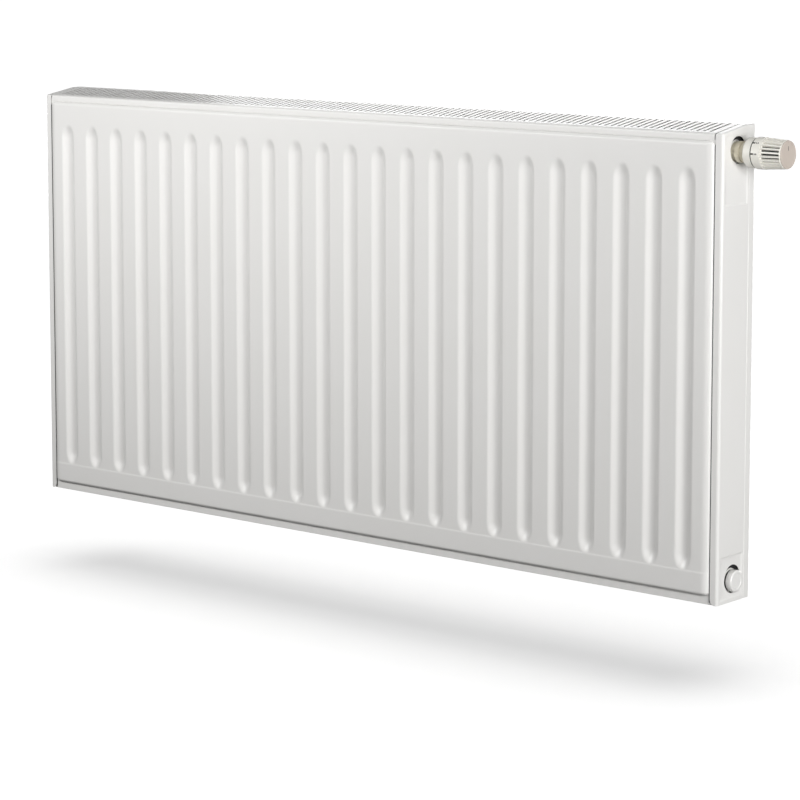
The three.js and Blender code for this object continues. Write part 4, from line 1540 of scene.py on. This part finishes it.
@dataclass
class PortFittings:
    """The four corner tees and what closes their ports.

    Args:
        tube_radius: The radius of a tee's tube.
        tube_bore: The radius of the tube's bore.
        tube_inset: From a boss's face to the tube's axis.
        boss_root: Where a boss starts, measured from that axis.
        boss_bore: The radius of its thread.
        high_boss: An upper boss's radius.
        low_boss: A lower boss's radius.
        socket: The socket's bore and outer radius.
        socket_sides: Steps round the socket.
        plug_radius: The radius of a blanking plug's disc.
        thread_radius: The radius of a plug's thread.
        plug_disc: The thickness of the disc.
        vent_collar: Where the air vent's collar starts.
        shadow_ring_reach: How far a black ring of painted shadow reaches beyond its boss.
        shadow_ring_depth: How far behind the side cover's face that ring starts and ends.
        segments: Steps round a port.
    """

    tube_radius: float = 13.0
    tube_bore: float = 8.0
    tube_inset: float = 27.0
    boss_root: float = 11.5
    boss_bore: float = 10.3
    high_boss: float = 15.0
    low_boss: float = 15.5
    socket: tuple[float, float] = (7.8, 10.0)
    socket_sides: int = 32
    plug_radius: float = 14.0
    thread_radius: float = 10.0
    plug_disc: float = 8.4
    vent_collar: float = 18.6
    shadow_ring_reach: float = 6.0
    shadow_ring_depth: tuple[float, float] = (4.6, 7.0)
    segments: int = 64

    def tee(self, node: str, sign: int, boss: float, branch: bool) -> None:
        """A welded tee: a tube from panel to panel with a threaded boss.

        Args:
            node: The CAD node it replaces.
            sign: 1 at the right end, -1 at the left.
            boss: The boss's radius.
            branch: True where the riser pipe enters from below.
        """
        low, high = box_mm(node)
        cy = (low.y + high.y) / 2
        cz = high.z - boss
        face = high.x if sign > 0 else low.x
        x = face - sign * self.tube_inset
        half = (high.y - low.y) / 2
        surface = Surface()
        bore, outer = self.tube_bore, self.tube_radius
        tube = [(-half, bore), (-half, outer), (half, outer), (half, bore), (-half, bore)]
        surface.revolve(tube, self.segments, (x, cy, cz), "Y")
        root, tip, bore = self.boss_root, self.tube_inset, self.boss_bore
        corners = [(root, bore), (root, boss), (tip, boss), (tip, bore), (root, bore)]
        outline = fillet(corners, [0, 0, 1.0, 0.8, 0])
        surface.revolve([(sign * a, r) for a, r in outline], self.segments, (x, cy, cz))
        if branch:
            self.branch(surface, (x, cy, cz), low.z)
        # The black ring in the cover's hole is painted shadow.
        self.ring(node, sign, boss, cy, cz)
        piece = surface.build(f"{node}_welded", [THIN_ENAMEL])
        place(piece, "radiator", THIN_ENAMEL.slot, node)

    def ring(self, node: str, sign: int, boss: float, cy: float, cz: float) -> None:
        """A black ring of painted shadow in the gap between a boss and the hole in the side cover.

        Args:
            node: The tee's CAD node.
            sign: 1 at the right end, -1 at the left.
            boss: The boss's radius.
            cy: The port's y.
            cz: The port's z.
        """
        # Painted shadow: a black ring where the hole round the boss shows only shade.
        near, far = self.shadow_ring_depth
        inner, outer = boss + 0.3, boss + self.shadow_ring_reach
        face = box_mm("side_cover_right")[1].x if sign > 0 else -box_mm("side_cover_left")[0].x
        surface = Surface()
        profile = [(near, inner), (near, outer), (far, outer), (far, inner), (near, inner)]
        surface.revolve([(sign * (face - a), r) for a, r in profile], self.segments, (0.0, cy, cz))
        place(surface.build(f"{node}_painted_shadow_ring", [RUBBER_AND_PAINTED_SHADOW]), "radiator", RUBBER_AND_PAINTED_SHADOW.slot)

    def branch(self, surface: Surface, centre: Point3, foot: float) -> None:
        """The socket under the valve tee.

        Args:
            surface: What gets the faces.
            centre: The tee's centre.
            foot: The socket's lower end.
        """
        cx, cy, cz = centre
        (bore, outer), root = self.socket, cz - 9.0
        turns = [2 * math.pi * i / self.socket_sides for i in range(self.socket_sides)]
        rings = []
        for r, z in ((bore, foot), (outer, foot), (outer, root), (bore, root), (bore, foot)):
            rings.append([(cx + r * math.cos(a), cy + r * math.sin(a), z) for a in turns])
        surface.loft(rings, closed=True)

    def plug(self, node: str, sign: int) -> None:
        """A blanking plug with a rounded disc.

        Args:
            node: The CAD node it replaces.
            sign: 1 at the right end, -1 at the left.
        """
        low, high = box_mm(node)
        back = low.x if sign > 0 else high.x
        length, r, thread = high.x - low.x, self.plug_radius, self.thread_radius
        disc = length - self.plug_disc
        corners = [
            (0, 0), (0, thread), (disc, thread), (disc, r), (length - 1.2, r), (length, r - 1.6), (length, 0),
        ]
        profile = fillet(corners, [0, 0.5, 0, 0.5, 1.0, 0.8, 0])
        profile[-1:] = [(length, r - 4.2), (length - 0.6, r - 4.9), (length - 0.6, 0)]
        surface = Surface()
        centre = (back, (low.y + high.y) / 2, (low.z + high.z) / 2)
        surface.revolve([(sign * a, rad) for a, rad in profile], self.segments, centre)
        place(surface.build(f"{node}_moulded", [WHITE_ENAMEL]), "radiator", WHITE_ENAMEL.slot, node)

    def vent(self) -> None:
        """The air vent plug in the upper left port and its square-headed bleed screw."""
        low, high = box_mm("air_vent_plug")
        centre = (high.x, (low.y + high.y) / 2, (low.z + high.z) / 2)
        length, thread, collar, bore = high.x - low.x, self.thread_radius, self.vent_collar, 3.3
        corners = [
            (0, bore), (0, thread), (collar, thread), (collar, 13), (length - 5, 13), (length - 3, 11),
            (length - 3, 7.5), (length, 7), (length, bore), (0, bore),
        ]
        profile = fillet(corners, [0, 0.5, 0, 0.4, 1.0, 0.8, 0.3, 0.6, 0.4, 0])
        surface = Surface()
        surface.revolve([(-a, r) for a, r in profile], self.segments, centre)
        place(surface.build("air_vent_plug_turned", [NICKEL]), "radiator", NICKEL.slot, "air_vent_plug")
        low, high = box_mm("air_vent_screw")
        surface = Surface()
        shoulder = high.x - low.x - 4.4
        stem = fillet([(0, 0), (0, 3), (shoulder, 3), (shoulder, 0)], [0, 0.5, 0.4, 0])
        surface.revolve([(-a, r) for a, r in stem], 32, (high.x, centre[1], centre[2]))
        self.square(surface, (low.x, centre[1], centre[2]), 2.2, 5.0)
        place(surface.build("air_vent_screw_square", [BRASS]), "vent_screw", BRASS.slot, "air_vent_screw")

    def square(self, surface: Surface, tip: Point3, half: float, length: float) -> None:
        """A square drive with its edges taken off.

        Args:
            surface: What gets the faces.
            tip: The middle of its outer face.
            half: Half its width.
            length: Its length, inwards from the tip.
        """
        c = 0.4
        outline = [(-half + c, -half), (half - c, -half), (half, -half + c), (half, half - c)]
        outline += [(half - c, half), (-half + c, half), (-half, half - c), (-half, -half + c)]
        rows = []
        for inset, scale in ((0.0, 0.8), (0.5, 1.0), (length, 1.0)):
            rows.append([(tip[0] + inset, tip[1] + y * scale, tip[2] + z * scale) for y, z in outline])
        surface.loft(rows, closed=True)
        surface.face(rows[0])
        surface.face(reversed(rows[-1]))

    def build(self) -> None:
        """Makes the tees, the plugs and the vent."""
        self.tee("valve_tee", 1, self.high_boss, True)
        self.tee("lower_right_tee", 1, self.low_boss, False)
        self.tee("upper_left_tee", -1, self.high_boss, False)
        self.tee("lower_left_tee", -1, self.low_boss, False)
        self.plug("lower_right_plug", 1)
        self.plug("lower_left_plug", -1)
        self.vent()


# ---- pieces that keep their CAD shape -------------------------------------------------------------------


@dataclass
class Dressing:
    """Gives each CAD node that stays its finish, and breaks its hard edges where they show.

    Args:
        edge_mm: The width of a broken edge.
        bevelled: Words in the names of the nodes whose edges show.
    """

    edge_mm: float = 0.5
    bevelled: tuple[str, ...] = ("wall_bracket", "lug", "hook_sleeve")

    def finish_of(self, node: str) -> Finish:
        """Looks up a node's finish by the words in its name.

        Args:
            node: The node's name.

        Returns:
            Its finish, which is the thin enamel if no word fits.
        """
        table = {
            "wall_bracket": GALVANISED,
            "hook_sleeve": SLEEVE_PLASTIC,
            "lug": WHITE_ENAMEL,
            "clip": GALVANISED,
            "seal": RUBBER_AND_PAINTED_SHADOW,
            "nipple": MACHINED,
            "insert": BRASS,
            "pin": BRASS,
            "spindle": NICKEL,
            "spring": NICKEL,
            "capsule": NICKEL,
        }
        return next((finish for word, finish in table.items() if word in node), THIN_ENAMEL)

    def build(self, nodes: dict[str, bpy.types.Object]) -> None:
        """Dresses every node.

        Args:
            nodes: The frame's nodes by name.
        """
        for name, node in nodes.items():
            material = Finishes.get(self.finish_of(name))
            if not node.material_slots:
                node.data.materials.append(material)
            for each in node.material_slots:
                each.material = material
            if any(word in name for word in self.bevelled):
                bevel = node.modifiers.new("broken edges", "BEVEL")
                bevel.width = self.edge_mm * MM
                bevel.segments = 2
                bevel.limit_method = "ANGLE"


# ---- studio ---------------------------------------------------------------------------------------------


class FloorLight(Enum):
    """Whether a lamp lights the floor: the floor alone, or everything but the floor."""

    ALONE = "INCLUDE"
    NEVER = "EXCLUDE"

    def limit(self, light: bpy.types.Object, floor: bpy.types.Object) -> None:
        """Limits what a lamp lights.

        Args:
            light: The lamp.
            floor: The floor.
        """
        group = bpy.data.collections.new(f"{light.name}_lights")
        group.objects.link(floor)
        group.collection_objects[0].light_linking.link_state = self.value
        light.light_linking.receiver_collection = group


@dataclass(frozen=True)
class SoftBox:
    """A soft rectangular light that never lights the floor.

    Args:
        name: Its name.
        place: Where it hangs, in metres.
        target: What it points at.
        size: Its width and height in metres.
        watts: Its power.
    """

    name: str
    place: Point3
    target: Point3
    size: Point2
    watts: float

    def build(self, floor: bpy.types.Object) -> None:
        """Hangs the light.

        Args:
            floor: The floor, which it leaves dark.
        """
        lamp = bpy.data.lights.new(self.name, "AREA")
        lamp.shape = "RECTANGLE"
        lamp.size, lamp.size_y = self.size
        lamp.energy = self.watts
        light = bpy.data.objects.new(self.name, lamp)
        light.location = self.place
        aim = Vector(self.target) - Vector(self.place)
        light.rotation_euler = aim.to_track_quat("-Z", "Y").to_euler()
        light.visible_camera = False
        bpy.context.scene.collection.objects.link(light)
        FloorLight.NEVER.limit(light, floor)


MIDDLE = (0.0, -0.07, 0.3)


@dataclass
class Studio:
    """A pale floor, soft light and the camera.

    Args:
        floor_drop: How far the floor lies below the radiator's bottom edge, in metres.
        floor_reach: How far the floor goes each way, in metres.
        floor_seen: The floor's own colour.
        floor_bounce: The colour that it throws back on the radiator.
        floor_glow: How strongly it glows.
        camera_right: How far right of the radiator's middle the camera stands, in metres.
        camera_front: How far in front of the wall.
        camera_height: How far above the radiator's bottom edge.
        camera_yaw: How far it is turned to the left, in degrees.
        camera_pitch: How far it looks down, in degrees.
        lens_mm: The lens's focal length.
        lens_shift: The lens's upward shift, as a fraction of the frame.
        sensor_mm: The sensor's width.
        ambient: The strength of the surround.
        mirrored_surround: How much stronger it is in reflections.
        diffuser_strength: The strength of the light that falls on the floor.
        diffuser_angle: How wide that light is, in degrees.
        lamps: The soft boxes.
    """

    floor_drop: float = 0.108
    floor_reach: float = 30.0
    floor_seen: str = "#f4f4f4"
    floor_bounce: str = "#6a6a6a"
    floor_glow: float = 0.33
    camera_right: float = 2.5908
    camera_front: float = 3.1047
    camera_height: float = 0.8625
    camera_yaw: float = 39.884
    camera_pitch: float = 7.192
    lens_mm: float = 131.8905
    lens_shift: float = -0.15
    sensor_mm: float = 36.0
    ambient: float = 0.02
    mirrored_surround: float = 0.4
    diffuser_strength: float = 2.5
    diffuser_angle: float = 84.0
    lamps: tuple[SoftBox, ...] = (
        SoftBox("right_softbox", (4.5, -2.5, 1.5), MIDDLE, (2.0, 2.0), 80.0),
        SoftBox("low_right_softbox", (3.0, -0.6, 0.5), MIDDLE, (1.2, 0.8), 22.0),
        SoftBox("near_right_softbox", (1.9, -0.8, 0.6), (0.4, -0.1, 0.3), (0.8, 0.6), 6.9),
        SoftBox("front_left_strip", (-0.6, -1.1, 0.8), (-0.5, -0.1, 0.35), (1.4, 0.3), 8.9),
        SoftBox("front_right_strip", (0.3, -1.1, 0.8), (0.3, -0.1, 0.35), (1.2, 0.3), 2.0),
        SoftBox("overhead_softbox", (0.0, -0.1, 2.6), MIDDLE, (2.6, 1.0), 9.0),
        SoftBox("back_softbox", (-0.6, 3.2, 0.45), MIDDLE, (2.6, 0.8), 45.0),
        SoftBox("left_rear_softbox", (-4.0, 1.6, 0.8), MIDDLE, (1.5, 1.5), 45.0),
        SoftBox("rear_softbox", (-1.8, 3.0, 1.6), MIDDLE, (2.4, 1.6), 32.0),
    )

    def floor(self) -> bpy.types.Object:
        """The floor that catches the radiator's soft shadow. Returns: the floor."""
        mesh = bpy.data.meshes.new("studio_floor")
        reach = self.floor_reach
        corners = [(-reach, -reach), (reach, -reach), (reach, reach), (-reach, reach)]
        mesh.from_pydata([(x, y, -self.floor_drop) for x, y in corners], [], [(0, 1, 2, 3)])
        material = bpy.data.materials.new("studio paper, pale")
        material.use_nodes = True
        tree = material.node_tree
        tree.nodes.clear()
        path = add_node(tree, "ShaderNodeLightPath")
        seen = add_node(tree, "ShaderNodeBsdfDiffuse", {"Color": linear(self.floor_seen)})
        bounced = add_node(tree, "ShaderNodeBsdfDiffuse", {"Color": linear(self.floor_bounce)})
        paper = add_node(
            tree,
            "ShaderNodeMixShader",
            {0: path.outputs["Is Camera Ray"], 1: bounced.outputs[0], 2: seen.outputs[0]},
        )
        level = add_node(
            tree,
            "ShaderNodeMath",
            {0: path.outputs["Is Camera Ray"], 1: self.floor_glow},
            operation="MULTIPLY",
        )
        white = linear("#ffffff")
        glow = add_node(tree, "ShaderNodeEmission", {"Color": white, "Strength": level.outputs[0]})
        both = add_node(tree, "ShaderNodeAddShader", {0: paper.outputs[0], 1: glow.outputs[0]})
        add_node(tree, "ShaderNodeOutputMaterial", {"Surface": both.outputs[0]})
        mesh.materials.append(material)
        floor = bpy.data.objects.new("studio_floor", mesh)
        bpy.context.scene.collection.objects.link(floor)
        return floor

    def diffuser(self, floor: bpy.types.Object) -> None:
        """Hangs the wide overhead diffuser that draws the soft shadow on the floor.

        Args:
            floor: The floor, which is all that it lights.
        """
        lamp = bpy.data.lights.new("overhead_diffuser", "SUN")
        lamp.energy = self.diffuser_strength
        lamp.angle = math.radians(self.diffuser_angle)
        light = bpy.data.objects.new("overhead_diffuser", lamp)
        light.location = (0.0, 0.0, 3.0)
        bpy.context.scene.collection.objects.link(light)
        FloorLight.ALONE.limit(light, floor)

    def world(self) -> None:
        """An even white surround, which is brighter where it is mirrored in metal and enamel."""
        world = bpy.data.worlds.new("studio_surround")
        bpy.context.scene.world = world
        world.use_nodes = True
        tree = world.node_tree
        tree.nodes.clear()
        path = add_node(tree, "ShaderNodeLightPath")
        strength = add_node(
            tree,
            "ShaderNodeMath",
            {0: path.outputs["Is Glossy Ray"], 1: self.mirrored_surround, 2: self.ambient},
            operation="MULTIPLY_ADD",
        )
        ambient = add_node(
            tree, "ShaderNodeBackground", {"Color": linear("#ffffff"), "Strength": strength.outputs[0]}
        )
        seen = add_node(tree, "ShaderNodeBackground", {"Color": linear("#fdfdfd"), "Strength": 1.0})
        mix = add_node(
            tree,
            "ShaderNodeMixShader",
            {0: path.outputs["Is Camera Ray"], 1: ambient.outputs[0], 2: seen.outputs[0]},
        )
        add_node(tree, "ShaderNodeOutputWorld", {"Surface": mix.outputs[0]})

    def camera(self) -> None:
        """The camera, to the right of the radiator and a little above it."""
        data = bpy.data.cameras.new("studio_camera")
        data.sensor_width = self.sensor_mm
        data.lens = self.lens_mm
        data.shift_y = self.lens_shift
        data.clip_start = 0.05
        data.clip_end = 100.0
        camera = bpy.data.objects.new("studio_camera", data)
        camera.location = (self.camera_right, -self.camera_front, self.camera_height)
        tilt = math.radians(90.0 - self.camera_pitch)
        camera.rotation_euler = (tilt, 0.0, math.radians(self.camera_yaw))
        bpy.context.scene.collection.objects.link(camera)
        bpy.context.scene.camera = camera

    def build(self) -> None:
        """Sets up the studio."""
        bpy.context.scene.view_settings.view_transform = "Standard"
        floor = self.floor()
        self.diffuser(floor)
        self.world()
        for lamp in self.lamps:
            lamp.build(floor)
        self.camera()


def main() -> None:
    """Builds the radiator round its frame, then the studio."""
    logging.basicConfig(level=logging.INFO, format="%(name)s: %(message)s")
    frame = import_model()
    Studio().build()
    Dressing().build(frame["nodes"])
    PressedSheet("front_panel_outer_sheet", False).build()
    PressedSheet("rear_panel_outer_sheet", True).build()
    for end in End:
        SideCover(end).build()
    TopGrille().build()
    ThermostaticHead().build()
    PortFittings().build()


if __name__ == "__main__":
    main()
